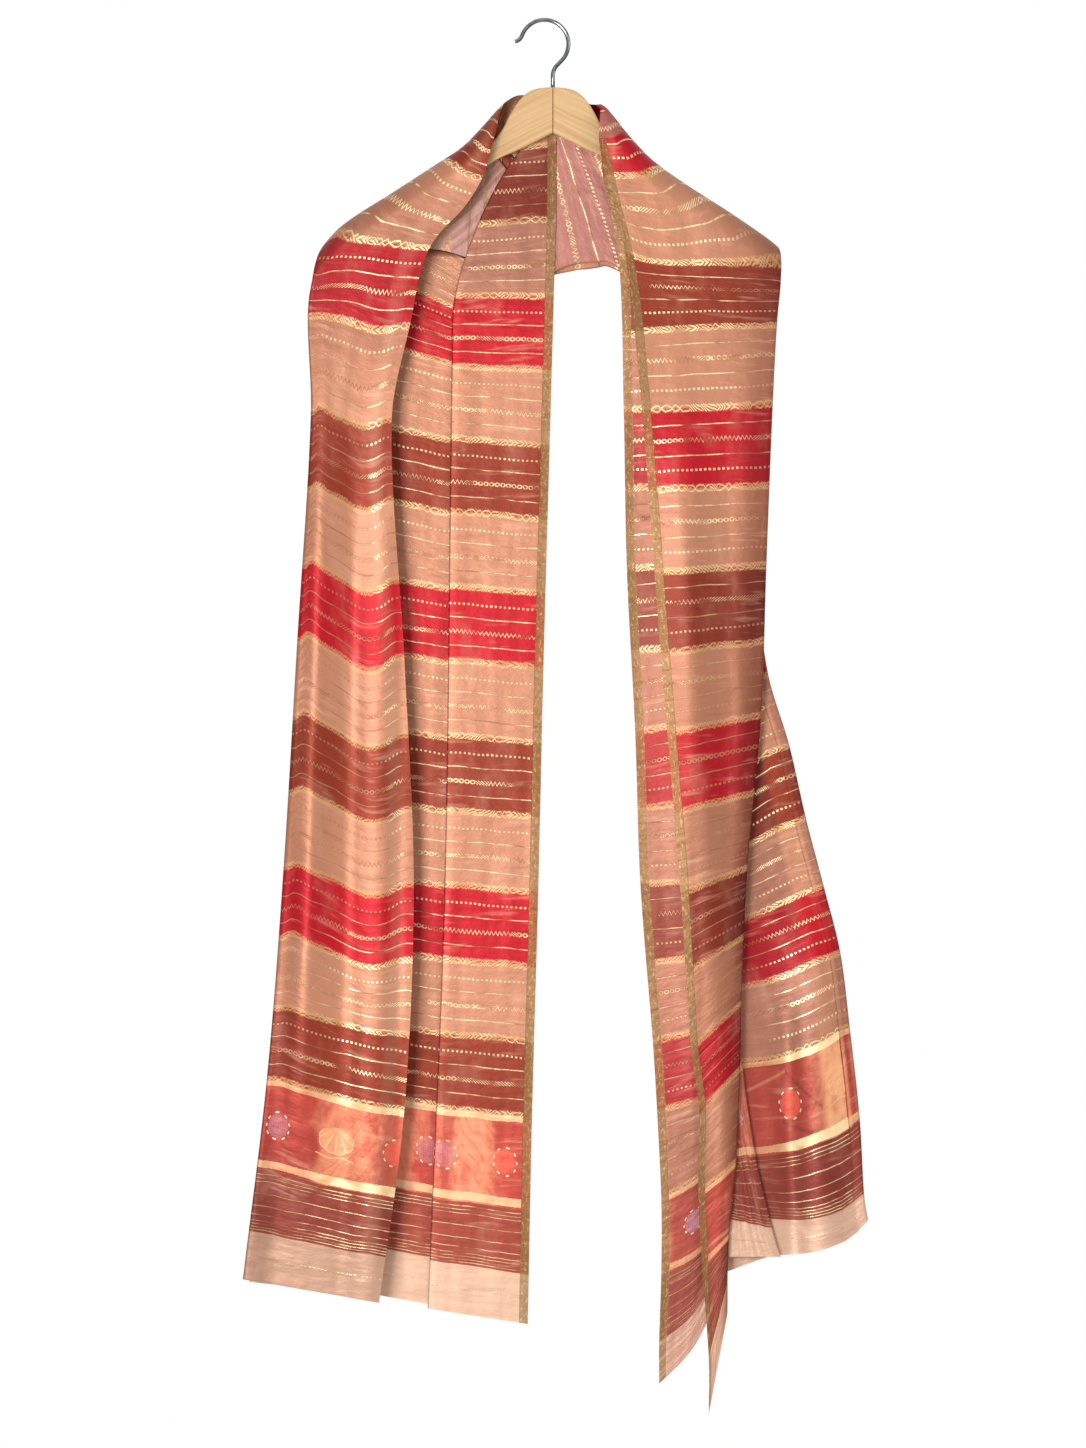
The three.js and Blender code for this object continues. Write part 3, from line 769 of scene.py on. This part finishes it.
# Painted shade in the V of the neck
NECK_V = (1090, 75, 60)
# Painted satin highlight in the V of the neck, beside the left panel
LEFT_CORNER = (1105, 60, 20)
# Painted shade at the top of the left panel
LEFT_TOP = (985, 75, 60)

# Woven lines of a stripe, by their place in it; the thin ones with half of their width
THIN_LINES = ((0.21, 0.55), (0.59, 0.6))
PATTERN_LINE = 0.4
DOTTED_LINE = 0.77
DOT_PITCH = 4.4

# Woven lines and bands of the ends, by their distance from the end
END_LINES = (106, 102.4, 98.8, 87, 75, 66, 59.8, 56.6, 53.4, 50.6)
LOW_BAND = 116
HIGH_BAND = 197
BAND_MARGIN = 6

# Woven buds of the ends
MOTIF_PITCH = 58
MOTIF_START = 5
MOTIF_SHIFT = 48
MOTIF_MIDDLE = 155
BUD_HALF = (11, 13.5)
RIM_DOTS = 9
DOT_SPACING = 2.2
FAN_TOP = 14
FAN_MIDDLE = 13
FAN_HALF = (17, 12)
FAN_RIBS = 7
STEM_DEPTH = 29

# Creases of the satin on the tail, each through a place across and a distance from the end
HIGH_CREASE = (0.6, 186)
LOW_CREASE = (0.55, 140)


def oval(a, b, half_a, half_b):
    """Distance from the middle of an oval, 1 on its rim."""
    a, b = a / half_a, b / half_b
    return (a * a + b * b).root()


def near(value, stretch):
    """1 within a stretch, given as its middle, half of its length and its softness."""
    middle, half, soft = stretch
    return (value - middle).within(half, soft)


def zari_patterns(d, w, choice):
    """A woven line of loops, slanted strokes or a zigzag, at distance d from its middle."""
    loop_x = (w / 5.4).part() * 2 - 1
    loops = (oval(loop_x, d, 1, 2.3) - 0.72).within(0.26, 0.2)
    strokes = ((w + d * 1.4) / 3).part().rising(0.42, 0.6) * d.within(2.2)
    zigzag = (d - abs((w / 4).part() - 0.5) * 8 + 2).within(0.8, 0.6) * d.within(2.6)
    first = choice > 0.52
    second = choice < 0.44
    return loops * first + zigzag * second + strokes * (1 - first) * (1 - second)


def zari_band(finish, d, w, seed):
    """Threads, fine hatching and ground of a woven band with lens chains and slanted leaves."""
    choice = finish.noise(finish.vector(w / 22, seed * 5.3), 1, 1)
    w = w + finish.noise(finish.vector(w / 11, seed * 3.1), 1, 1) * 16
    d = d + (finish.noise(finish.vector(w / 6, seed * 2.3), 1, 1) - 0.5) * 2
    chain = (abs(d) - abs((w * (math.pi / 9)).wave()) * 2.9).within(0.6, 0.7)
    leaves = ((w + abs(d) * 1.3) / 4.6).part().rising(0.42, 0.58) * d.within(3.1)
    strokes = ((w - d * 1.1) / 3.4).part().rising(0.44, 0.6) * d.within(3.3)
    early = choice > 0.57
    late = choice < 0.48
    inside = chain * early + leaves * late + strokes * (1 - early) * (1 - late)
    ragged = finish.noise(finish.vector(w / 2.4, seed * 7.7), 1, 2, 0.6) * 5
    ground = 1 - (abs(d) - 1.2 - ragged).rising(-0.6, 0.6)
    hatch = ((w + d * 0.7) / 3.1).part().rising(0.34, 0.6) * ground
    return inside * ground, hatch, ground


def end_motifs(silk, end, w, right):
    """A row of woven buds, by turns round with a dotted rim, a ribbed fan, and dotted."""
    row = (w - MOTIF_START - right * MOTIF_SHIFT) / MOTIF_PITCH + 0.5
    kind = row.floor() % 3
    is_fan = (kind > 0.5) * (kind < 1.5)
    is_dotted = kind > 1.5
    a = (row.part() - 0.5) * MOTIF_PITCH
    b = end - MOTIF_MIDDLE

    reach = oval(a, b, *BUD_HALF)
    rim = (reach - 1.02).within(0.05, 0.05) * (a.lean(b) * RIM_DOTS).wave().rising(0.1, 0.7)
    dot_a = (a / DOT_SPACING).part() - 0.5
    dot_b = (b / DOT_SPACING).part() - 0.5
    dots = 1 - oval(dot_a, dot_b, 1, 1).rising(0.15, 0.36)
    cloud = silk.noise(silk.vector(w / 7, end / 7), 1, 3, 0.6).rising(0.3, 0.62)
    bud = (1 - reach.rising(0.82, 1.0)) * (cloud * 0.35 + 0.35) * (1 - is_dotted * (1 - right) * 0.5)

    depth = FAN_TOP - b
    turn = a.lean(depth)
    scallops = abs((turn * FAN_RIBS).wave()) * 0.07
    shell = oval(a, depth - FAN_MIDDLE, *FAN_HALF) - scallops
    inside = (1 - shell.rising(0.94, 1)) * (1 - abs(turn).rising(1.15, 1.25))
    ribs = abs((turn * FAN_RIBS).wave()).rising(0.08, 0.3)
    outline = (shell - 0.96).within(0.035, 0.04) * (1 - abs(turn).rising(1.2, 1.3))
    stem = (depth - STEM_DEPTH - (a / 4).wave() * 1.2).within(0.5) * a.within(19)
    fan = (inside * (0.95 - ribs * 0.6)).highest(outline * 0.9).highest(stem * 0.8)

    body = bud.highest(rim) * (1 - is_fan) + fan * is_fan
    pale = (dots * is_dotted * 0.3).highest(rim * (1 - is_fan))
    colour = silk.blend(pale, silk.steps(kind / 3 + 0.05, [CORAL, CREAM, LILAC]), PALE_GOLD_AND_GLINT)
    return body, colour


def layer_mask(order, layer):
    """1 on one layer of the folded cloth."""
    return abs(order * len(layers) - 0.5 - layer) < 0.3


def painted_thread_glint(w, u, across, order, right):
    """Painted glint of the metal threads, from 0 to 1: how brightly they are painted to shine, by their
    place in the drape.

    On the left panel they shine on the ridge near its edge, and wider at its top and its bottom.
    On the right panel they fade towards the outer fold and the hem, and on the tail they shine
    near its outer fold.
    """
    left = 1 - right
    ridge_highlight = 1 - abs(w - LEFT_RIDGE).rising(3, 13)
    broad = (1 - u.rising(330, 430)).highest(u.rising(880, 980)) * (1 - w.rising(55, 100) * 0.75)
    left_front = (ridge_highlight * 0.9).highest(broad).highest(0.12)
    right_front = (1 - across.rising(0.55, 0.85) * 0.75) * (1 - u.rising(1500, 1850) * 0.85)
    front = left_front * left + right_front * right
    tail = (across.rising(0.42, 0.7) * 0.9 + 0.1) * right + left * 0.3
    under = (1 - u.rising(1550, 1900) * 0.7) * right + left * 0.6
    on_front = layer_mask(order, FRONT)
    on_tail = layer_mask(order, TAIL)
    return front * on_front + tail * on_tail + under * (1 - on_front) * (1 - on_tail)


def tail_highlight(across, order, right):
    """Painted highlight: the bright strip of satin down the turned edge of the tail, from 0 to 1."""
    before = across.rising(0.87, 0.96) * layer_mask(order, TAIL)
    beyond = (1 - across.rising(0.1, 0.5)) * layer_mask(order, TAIL_BACK)
    return (before + beyond) * right


def slanted(end, across, through_point, slope):
    """Distance from a slanted line; its slope is in millimetres over the width of the layer."""
    place, distance = through_point
    return end - distance + (across - place) * slope


def satin_rust(silk, u, w, across, order, right):
    """The plain satin of the end bands, with painted light and shade: broad painted highlights on the
    deep rust, a painted highlight down the tail's turned edge, and slanted creases painted as a highlight
    line and shade lines.
    """
    patch = silk.noise(silk.vector(u / 40, w / 26), 1, 4, 0.6)
    place = across + (patch - 0.5) * 0.5
    lit_left = place.rising(0.1, 0.26) * (1 - place.rising(0.52, 0.68))
    lit_left = lit_left + (1 - place.rising(0, 0.16)) * 0.4
    lit_tail = place.rising(0.7, 0.95)
    lit = lit_left * (1 - right) + (lit_tail * 0.7 + 0.1) * right
    crease = silk.noise(silk.vector((u + w * 1.6) / 30, (u - w * 1.6) / 90), 1, 1)
    lit = lit * (1 - (crease - 0.5).within(0.02, 0.05) * 0.35)
    rust = silk.blend(lit * (patch.rising(0.3, 0.6) * 0.5 + 0.5), RUST, RUST_SOFT_HIGHLIGHT)
    gloss_highlight = tail_highlight(across, order, right) * (patch.rising(0.35, 0.6) * 0.6 + 0.4)
    rust = silk.blend(gloss_highlight * 0.7, rust, RUST_BRIGHT_HIGHLIGHT)
    end = CLOTH_LENGTH - u
    on_tail = layer_mask(order, TAIL) * right
    rising = slanted(end, across, HIGH_CREASE, -37).within(1.5, 2.5) * (across < 0.6)
    falling = slanted(end, across, HIGH_CREASE, 150).within(2, 3.5) * (abs(across - 0.75) < 0.15)
    low = slanted(end, across, LOW_CREASE, 70).within(2, 3.5) * (abs(across - 0.68) < 0.13)
    rust = silk.blend(rising * on_tail * patch * 0.6, rust, RUST_BRIGHT_HIGHLIGHT)
    return silk.blend(falling.highest(low) * on_tail * 0.3, rust, FOLD_SHADE, "MULTIPLY")


def silk_finish():
    """The woven silk; weave gives length and width in the cloth, fold the place in the drape."""
    silk = Finish("striped_silk", Sheen_Weight=0.05, Sheen_Roughness=0.4, Specular_IOR_Level=0.28)
    silk.shader.inputs["Sheen Tint"].default_value = (1, 0.85, 0.72, 1)
    weave_map = silk.node("ShaderNodeUVMap", {"uv_map": "weave"}, {})
    raw_u, w = (part * 1000 for part in silk.parts(weave_map)[:2])
    fold_map = silk.node("ShaderNodeUVMap", {"uv_map": "fold"}, {})
    across, order = silk.parts(fold_map)[:2]
    right = raw_u > MIDDLE_LENGTH
    sway = silk.noise(silk.vector(raw_u / 60, w / 45), 1, 2) - 0.5
    u = raw_u + sway * 5
    count = (u - END_LENGTH) / STRIPE_PITCH
    stripe = count.floor()
    part = count.part()
    end = u.lowest(CLOTH_LENGTH - u)
    striped = end.rising(END_LENGTH - 0.3, END_LENGTH + 0.3)
    band_zone = end > (END_LENGTH - BAND_MARGIN)
    on_front = layer_mask(order, FRONT)
    on_under = layer_mask(order, UNDER) * right

    # Ground colours
    stripes = silk.steps((stripe % 4) / 4 + 0.1, [BROWN, ROSE, RED, ROSE])
    rust = satin_rust(silk, raw_u, w, across, order, right)
    ends = silk.blend(end.rising(BROWN_END - 0.4, BROWN_END + 0.4), END_BROWN, rust)
    ends = silk.blend(end.rising(HEM_WIDTH - 0.4, HEM_WIDTH + 0.4), HEM, ends)
    ground = silk.blend(striped, ends, stripes)

    # Turned and hidden parts round the neck, some of them with painted light and shade
    turned = near(raw_u, TURNED_PATCH) * (1 - w.rising(24, 32))
    ground = silk.blend(turned * 0.85, ground, TURNED_ROSE)
    peak = near(raw_u, NECK_PEAK) * (1 - w.rising(44, 52))
    ground = silk.blend(peak, ground, RED)
    ground = silk.blend(near(raw_u, NECK_PEAK_UNDER) * layer_mask(order, UNDER), ground, RED)
    # Painted light and shade on the under layer at the right: lightened towards pink as if lit through
    # the sheer silk, then darkened
    ground = silk.blend(on_under * 0.1, ground, UNDER_PAINTED_LIGHT)
    ground = silk.blend(on_under, ground, UNDER_SHADE, "MULTIPLY")
    behind_neck = near(raw_u, BEHIND_NECK) * layer_mask(order, NECK_BACK)
    ground = silk.blend(behind_neck * 0.6, ground, NECK_PINK)
    # Painted shade in the V of the neck
    neck_v_shade = near(raw_u, NECK_V) * layer_mask(order, UNDER)
    ground = silk.blend(neck_v_shade * 0.8, ground, TAIL_SHADE, "MULTIPLY")
    # Painted satin highlight, in streaks, on the cloth beside the left panel's edge
    corner_highlight = near(raw_u, LEFT_CORNER) * layer_mask(order, TAIL)
    streaks = silk.noise(silk.vector(raw_u / 90, w / 5), 1, 2).rising(0.35, 0.65)
    ground = silk.blend(corner_highlight * (streaks * 0.4 + 0.4), ground, NECK_SATIN_HIGHLIGHT)

    # Painted shade: darker in the fold valleys, at the panels' edges, low on the right panel, on the
    # layers behind, at the left end and at the top of the left panel
    valley_shade = silk.noise(silk.vector(raw_u / 300, w / 30), 1, 2, 0.5)
    ground = silk.blend(valley_shade.rising(0.5, 0.8) * 0.14, ground, FOLD_SHADE, "MULTIPLY")
    edge = across.rising(0.5, 1) * (0.2 + right * 0.25) + across.rising(0.82, 1) * 0.1
    # Painted shade, darker towards the bottom of the right panel
    low = raw_u.rising(1450, 1900) * 0.34
    ground = silk.blend((edge + low) * on_front, ground, EDGE_SHADE, "MULTIPLY")
    behind = (order > BEHIND_FROM) * (order < BEHIND_TO) * raw_u.rising(1300, 1340)
    # The painted highlight down the tail's edge is kept out of the painted shade
    painted_tail_highlight = tail_highlight(across, order, right) * end.rising(BROWN_END, BROWN_END + 3)
    behind = behind * (1 - painted_tail_highlight) * (end.rising(40, 56) * 0.6 + 0.2)
    ground = silk.blend(behind, ground, TAIL_SHADE, "MULTIPLY")
    left_end_shade = (1 - raw_u.rising(60, 240)) * on_front
    ground = silk.blend(left_end_shade, ground, LEFT_END_SHADE, "MULTIPLY")
    left_top_shade = near(raw_u, LEFT_TOP) * (1 - right) * on_front
    ground = silk.blend(left_top_shade * 0.3, ground, EDGE_SHADE, "MULTIPLY")

    # Painted satin highlights, a painted highlight along the left panel's ridge, and painted highlight
    # and shade on the fine wrinkles
    gloss_highlight = silk.noise(silk.vector(raw_u / 70, w / 40), 1, 3, 0.6)
    ridge_highlight = (1 - abs(w - LEFT_RIDGE).rising(2, 12)) * (1 - right) * on_front
    ground = silk.blend((gloss_highlight.rising(0.5, 0.8) * 0.12).highest(ridge_highlight * gloss_highlight * 0.16), ground, SATIN_HIGHLIGHT)
    wrinkle_shading = silk.noise(silk.vector((raw_u - w * 0.12) / 9, w / 70), 1, 3, 0.6)
    ground = silk.blend(wrinkle_shading.rising(0.56, 0.72) * 0.16, ground, SATIN_HIGHLIGHT)
    ground = silk.blend((1 - wrinkle_shading.rising(0.3, 0.42)) * 0.14, ground, FOLD_SHADE, "MULTIPLY")

    # Woven lines and bands, with a painted glint on their metal threads
    # Strength of the painted glint on the metal threads
    light = painted_thread_glint(w, raw_u, across, order, right)
    choice = silk.noise(silk.vector(w / 70, stripe * 3.7), 1, 0)
    band_side = ((part + 0.5).part() - 0.5) * STRIPE_PITCH
    band_threads, hatch, band_ground = zari_band(silk, band_side, w, (count + 0.5).floor())
    near_line = silk.noise(silk.vector(w / 26, stripe * 2.3 + part * 9), 1, 1)
    first, second = (((part - place) * STRIPE_PITCH).within(half) for place, half in THIN_LINES)
    pattern = zari_patterns((part - PATTERN_LINE) * STRIPE_PITCH, w, choice)
    dots = ((part - DOTTED_LINE) * STRIPE_PITCH).within(1.1) * (w / DOT_PITCH).part().rising(0.46, 0.56)
    stripe_lines = first.highest(second).highest(pattern).highest(dots) * striped

    end_lines = (end - END_LINES[0]).within(0.45)
    for middle in END_LINES[1:]:
        end_lines = end_lines.highest((end - middle).within(0.4))
    stitch = (end - HEM_WIDTH / 2).within(0.5) * (w / 4).part().rising(0.3, 0.4)
    ragged = silk.noise(silk.vector(w / 2.2, 3), 1, 2) * 2
    # The end bands are painted wider where their threads are painted to glint
    low_band = (end - LOW_BAND).within(light * 1.6 + 2.2 + ragged)
    high_band = (end - HIGH_BAND).within(light * 1.4 + 1.2 + ragged)
    end_bands = low_band.highest(high_band) * (1 - striped)
    lines = stripe_lines.highest(end_lines.highest(stitch) * (1 - striped))

    # Painted glint: the threads are painted pale where they should catch the light
    shimmer = silk.noise(silk.vector(raw_u / 26, w / 30), 1, 2, 0.6).rising(0.3, 0.52)
    dashes = silk.noise(silk.vector(w / 5, stripe * 4.1 + part * 9), 1, 1).rising(0.36, 0.46) * 0.5 + 0.5
    glint = (shimmer * near_line.rising(0.28, 0.5) * dashes).highest(dots * 0.7) * light
    line_tint = silk.blend(glint, silk.blend(0.6, ground, THREAD_DULL), PALE_GOLD_AND_GLINT)
    band_tint = silk.blend(shimmer * light, BAND_DULL, PALE_GOLD_AND_GLINT)
    motif, motif_tint = end_motifs(silk, end, w, right)
    tail_back = (order > TAIL_BACK_FROM) * (order < BEHIND_TO) * right
    motif = motif * (end > BROWN_END) * (1 - striped) * (1 - tail_back)
    colour = silk.blend(motif, ground, motif_tint)
    colour = silk.blend(band_ground * band_zone * 0.06, colour, BAND_GROUND)
    colour = silk.blend(hatch * band_zone * 0.5, colour, BAND_DULL)
    colour = silk.blend(band_threads * band_zone * (light * 0.55 + 0.4), colour, band_tint)
    end_band_tint = silk.blend(shimmer * light, BAND_GROUND, PALE_GOLD_AND_GLINT)
    colour = silk.blend(end_bands * (light * 0.4 + 0.45), colour, end_band_tint)
    colour = silk.blend(lines, colour, line_tint)
    gold = (lines * glint).highest(band_threads * band_zone * 0.5 * light)

    # Selvedges
    right_edge = (SELVEDGE_WIDTH - w).rising(-0.4, 0.4) * (raw_u > SELVEDGE_START)
    left_edge = (w - CLOTH_WIDTH + SELVEDGE_WIDTH).rising(-0.4, 0.4)
    selvedge = right_edge.highest(left_edge)
    mottle = silk.noise(silk.vector(raw_u / 5, w / 2.5), 1, 3, 0.7)
    selvedge_tint = silk.blend(mottle.rising(0.5, 0.75) * 0.45, SELVEDGE, PALE_GOLD_AND_GLINT)
    selvedge_tint = silk.blend(0.28, selvedge_tint, ground)
    selvedge_tint = silk.blend(stripe_lines * 0.4, selvedge_tint, THREAD_DULL)
    colour = silk.blend(selvedge, colour, selvedge_tint)

    # Relief of the threads and the fine creases
    crinkle = silk.noise(silk.vector(raw_u / 16, w / 26), 1, 3, 0.55)
    crosswise = silk.noise(silk.vector(raw_u / 11, w / 80), 1, 2)
    pleats = silk.noise(silk.vector(raw_u / 190, w / 20), 1, 1)
    weave = silk.noise(silk.vector(raw_u / 0.9, w / 2.4), 1, 1)
    height = lines * 0.3 + selvedge * 0.25 + crinkle * 1.6 + crosswise * 1.2 + pleats * 1.6 + weave * 0.12
    bump = silk.node("ShaderNodeBump", {}, {"Strength": 0.5, "Distance": 0.001, "Height": height})
    silk.set(
        Base_Color=colour,
        Metallic=0.3 + gold * 0.4 + selvedge * 0.1,
        Roughness=0.44 - gold * 0.12,
        Normal=bump,
    )
    return silk.material


def wood_finish(name, side):
    """Pale lacquered maple, with its grain along one arm; side is -1 for the left arm."""
    wood = Finish(name, Coat_Weight=0.6, Coat_Roughness=0.12, Specular_IOR_Level=0.45)
    place = wood.node("ShaderNodeTexCoord", {}, {}, output=3)
    slope = (0, math.radians(-side * GRAIN_SLOPE), 0)
    turned = wood.node("ShaderNodeMapping", {}, {"Vector": place, "Rotation": slope})
    along, deep, rise = (part * 1000 for part in wood.parts(turned))
    drift = wood.noise(wood.vector(along / 90, rise / 30, deep / 30), 1, 2)
    rings = wood.noise(wood.vector(along / 160, rise / 2.6 + drift * 3, deep / 6), 1, 3, 0.6)
    fibres = wood.noise(wood.vector(along / 30, rise / 0.7, deep / 0.9), 1, 2, 0.7)
    colour = wood.blend(rings.rising(0.32, 0.7), MAPLE, MAPLE_RING)
    colour = wood.blend(fibres.rising(0.5, 0.8) * 0.28, colour, MAPLE_FIBRE)
    bump = wood.node("ShaderNodeBump", {}, {"Strength": 0.25, "Distance": 0.0004, "Height": fibres})
    wood.set(Base_Color=colour, Roughness=0.34 + fibres * 0.12, Normal=bump)
    return wood.material


def chrome_finish():
    chrome = Finish("polished_wire", Specular_IOR_Level=0.5)
    place = chrome.node("ShaderNodeTexCoord", {}, {}, output=3)
    wear = chrome.noise(place, 260, 3, 0.6)
    colour = chrome.blend(wear.rising(0.4, 0.7), CHROME, CHROME_WORN)
    chrome.set(Base_Color=colour, Metallic=1, Roughness=0.08 + wear * 0.1)
    return chrome.material


def dress(piece, material):
    piece.data.materials.clear()
    piece.data.materials.append(material)


# Camera, light and floor

PIXEL = 0.96
PHOTO_WIDTH, PHOTO_HEIGHT = 1086, 1448
ORIGIN_PIXEL = (544.5, 21.9)
CAMERA_DISTANCE = 6000
SENSOR = 24
FLOOR_DROP = 1900
ROOM_LIGHT = (0.25, 0.8)
SIDE_LIGHT = 0.3
LIT_POINT = (0, 0, -0.65)


def make_camera():
    data = bpy.data.cameras.new("camera")
    data.sensor_fit = "VERTICAL"
    data.sensor_height = SENSOR
    data.lens = SENSOR * CAMERA_DISTANCE / (PHOTO_HEIGHT * PIXEL)
    data.clip_end = 100
    camera = bpy.data.objects.new("camera", data)
    camera.location = Vector((
        (PHOTO_WIDTH / 2 - ORIGIN_PIXEL[0]) * PIXEL,
        -CAMERA_DISTANCE,
        (ORIGIN_PIXEL[1] - PHOTO_HEIGHT / 2) * PIXEL,
    )) * MM
    camera.rotation_euler = (math.pi / 2, 0, 0)
    bpy.context.scene.collection.objects.link(camera)
    bpy.context.scene.camera = camera


def make_light(name, place, size, power):
    """A square lamp in metres and watts, turned to the middle of the cloth."""
    data = bpy.data.lights.new(name, "AREA")
    data.size = size
    data.energy = power
    light = bpy.data.objects.new(name, data)
    light.location = place
    light.rotation_euler = (Vector(LIT_POINT) - Vector(place)).to_track_quat("-Z", "Y").to_euler()
    bpy.context.scene.collection.objects.link(light)


def make_studio():
    """White room as the camera sees it, with light that falls off below and at the sides."""
    world = bpy.data.worlds.new("studio")
    world.use_nodes = True
    tree = world.node_tree
    backdrop = tree.nodes["Background"]
    backdrop.inputs[0].default_value = (1, 1, 1, 1)
    way = tree.nodes.new("ShaderNodeTexCoord")
    parts = tree.nodes.new("ShaderNodeSeparateXYZ")
    sideways = tree.nodes.new("ShaderNodeMath")
    sideways.operation = "ABSOLUTE"
    seen = tree.nodes.new("ShaderNodeLightPath")
    above, beside, strength = (tree.nodes.new("ShaderNodeMapRange") for _ in range(3))
    ranges = (
        (above, (-0.7, 0.5, *ROOM_LIGHT)),
        (beside, (0.45, 0.95, 1, SIDE_LIGHT)),
        (strength, (0, 1, 0, 1)),
    )
    for node, limits in ranges:
        for socket, value in zip(("From Min", "From Max", "To Min", "To Max"), limits):
            node.inputs[socket].default_value = value
    both = tree.nodes.new("ShaderNodeMath")
    both.operation = "MULTIPLY"
    tree.links.new(way.outputs["Generated"], parts.inputs[0])
    tree.links.new(parts.outputs[2], above.inputs["Value"])
    tree.links.new(parts.outputs[0], sideways.inputs[0])
    tree.links.new(sideways.outputs[0], beside.inputs["Value"])
    tree.links.new(above.outputs[0], both.inputs[0])
    tree.links.new(beside.outputs[0], both.inputs[1])
    tree.links.new(both.outputs[0], strength.inputs["To Min"])
    tree.links.new(seen.outputs["Is Camera Ray"], strength.inputs["Value"])
    tree.links.new(strength.outputs[0], backdrop.inputs[1])
    bpy.context.scene.world = world
    make_light("key", place=(-1.0, -3.2, -0.6), size=0.9, power=65)
    make_light("fill", place=(2.4, -1.6, 0.2), size=1.4, power=14)
    floor = bmesh.new()
    bmesh.ops.create_circle(floor, cap_ends=True, segments=96, radius=1.6)
    bmesh.ops.translate(floor, verts=floor.verts, vec=Vector((0, 0, -FLOOR_DROP * MM)))
    ground = finished(floor, "floor")
    pale = Finish("pale_floor", Roughness=0.8)
    pale.set(Base_Color=FLOOR_WHITE)
    dress(ground, pale.material)
    ground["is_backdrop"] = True
    bpy.context.scene.view_settings.view_transform = "Standard"


make_camera()
make_studio()

dupatta = make_dupatta()
dress(dupatta, silk_finish())
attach(dupatta, "root")
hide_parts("dupatta")

hook = make_hook()
dress(hook, chrome_finish())
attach(hook, "root")
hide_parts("hook")

dress(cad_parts["hanger_arm_left"], wood_finish("left_arm_wood", -1))
dress(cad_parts["hanger_arm_right"], wood_finish("right_arm_wood", 1))

sizes = {"solid": solid_box, "visual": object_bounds()}
{name: [[float(v) for v in corner] for corner in box] for name, box in sizes.items()}
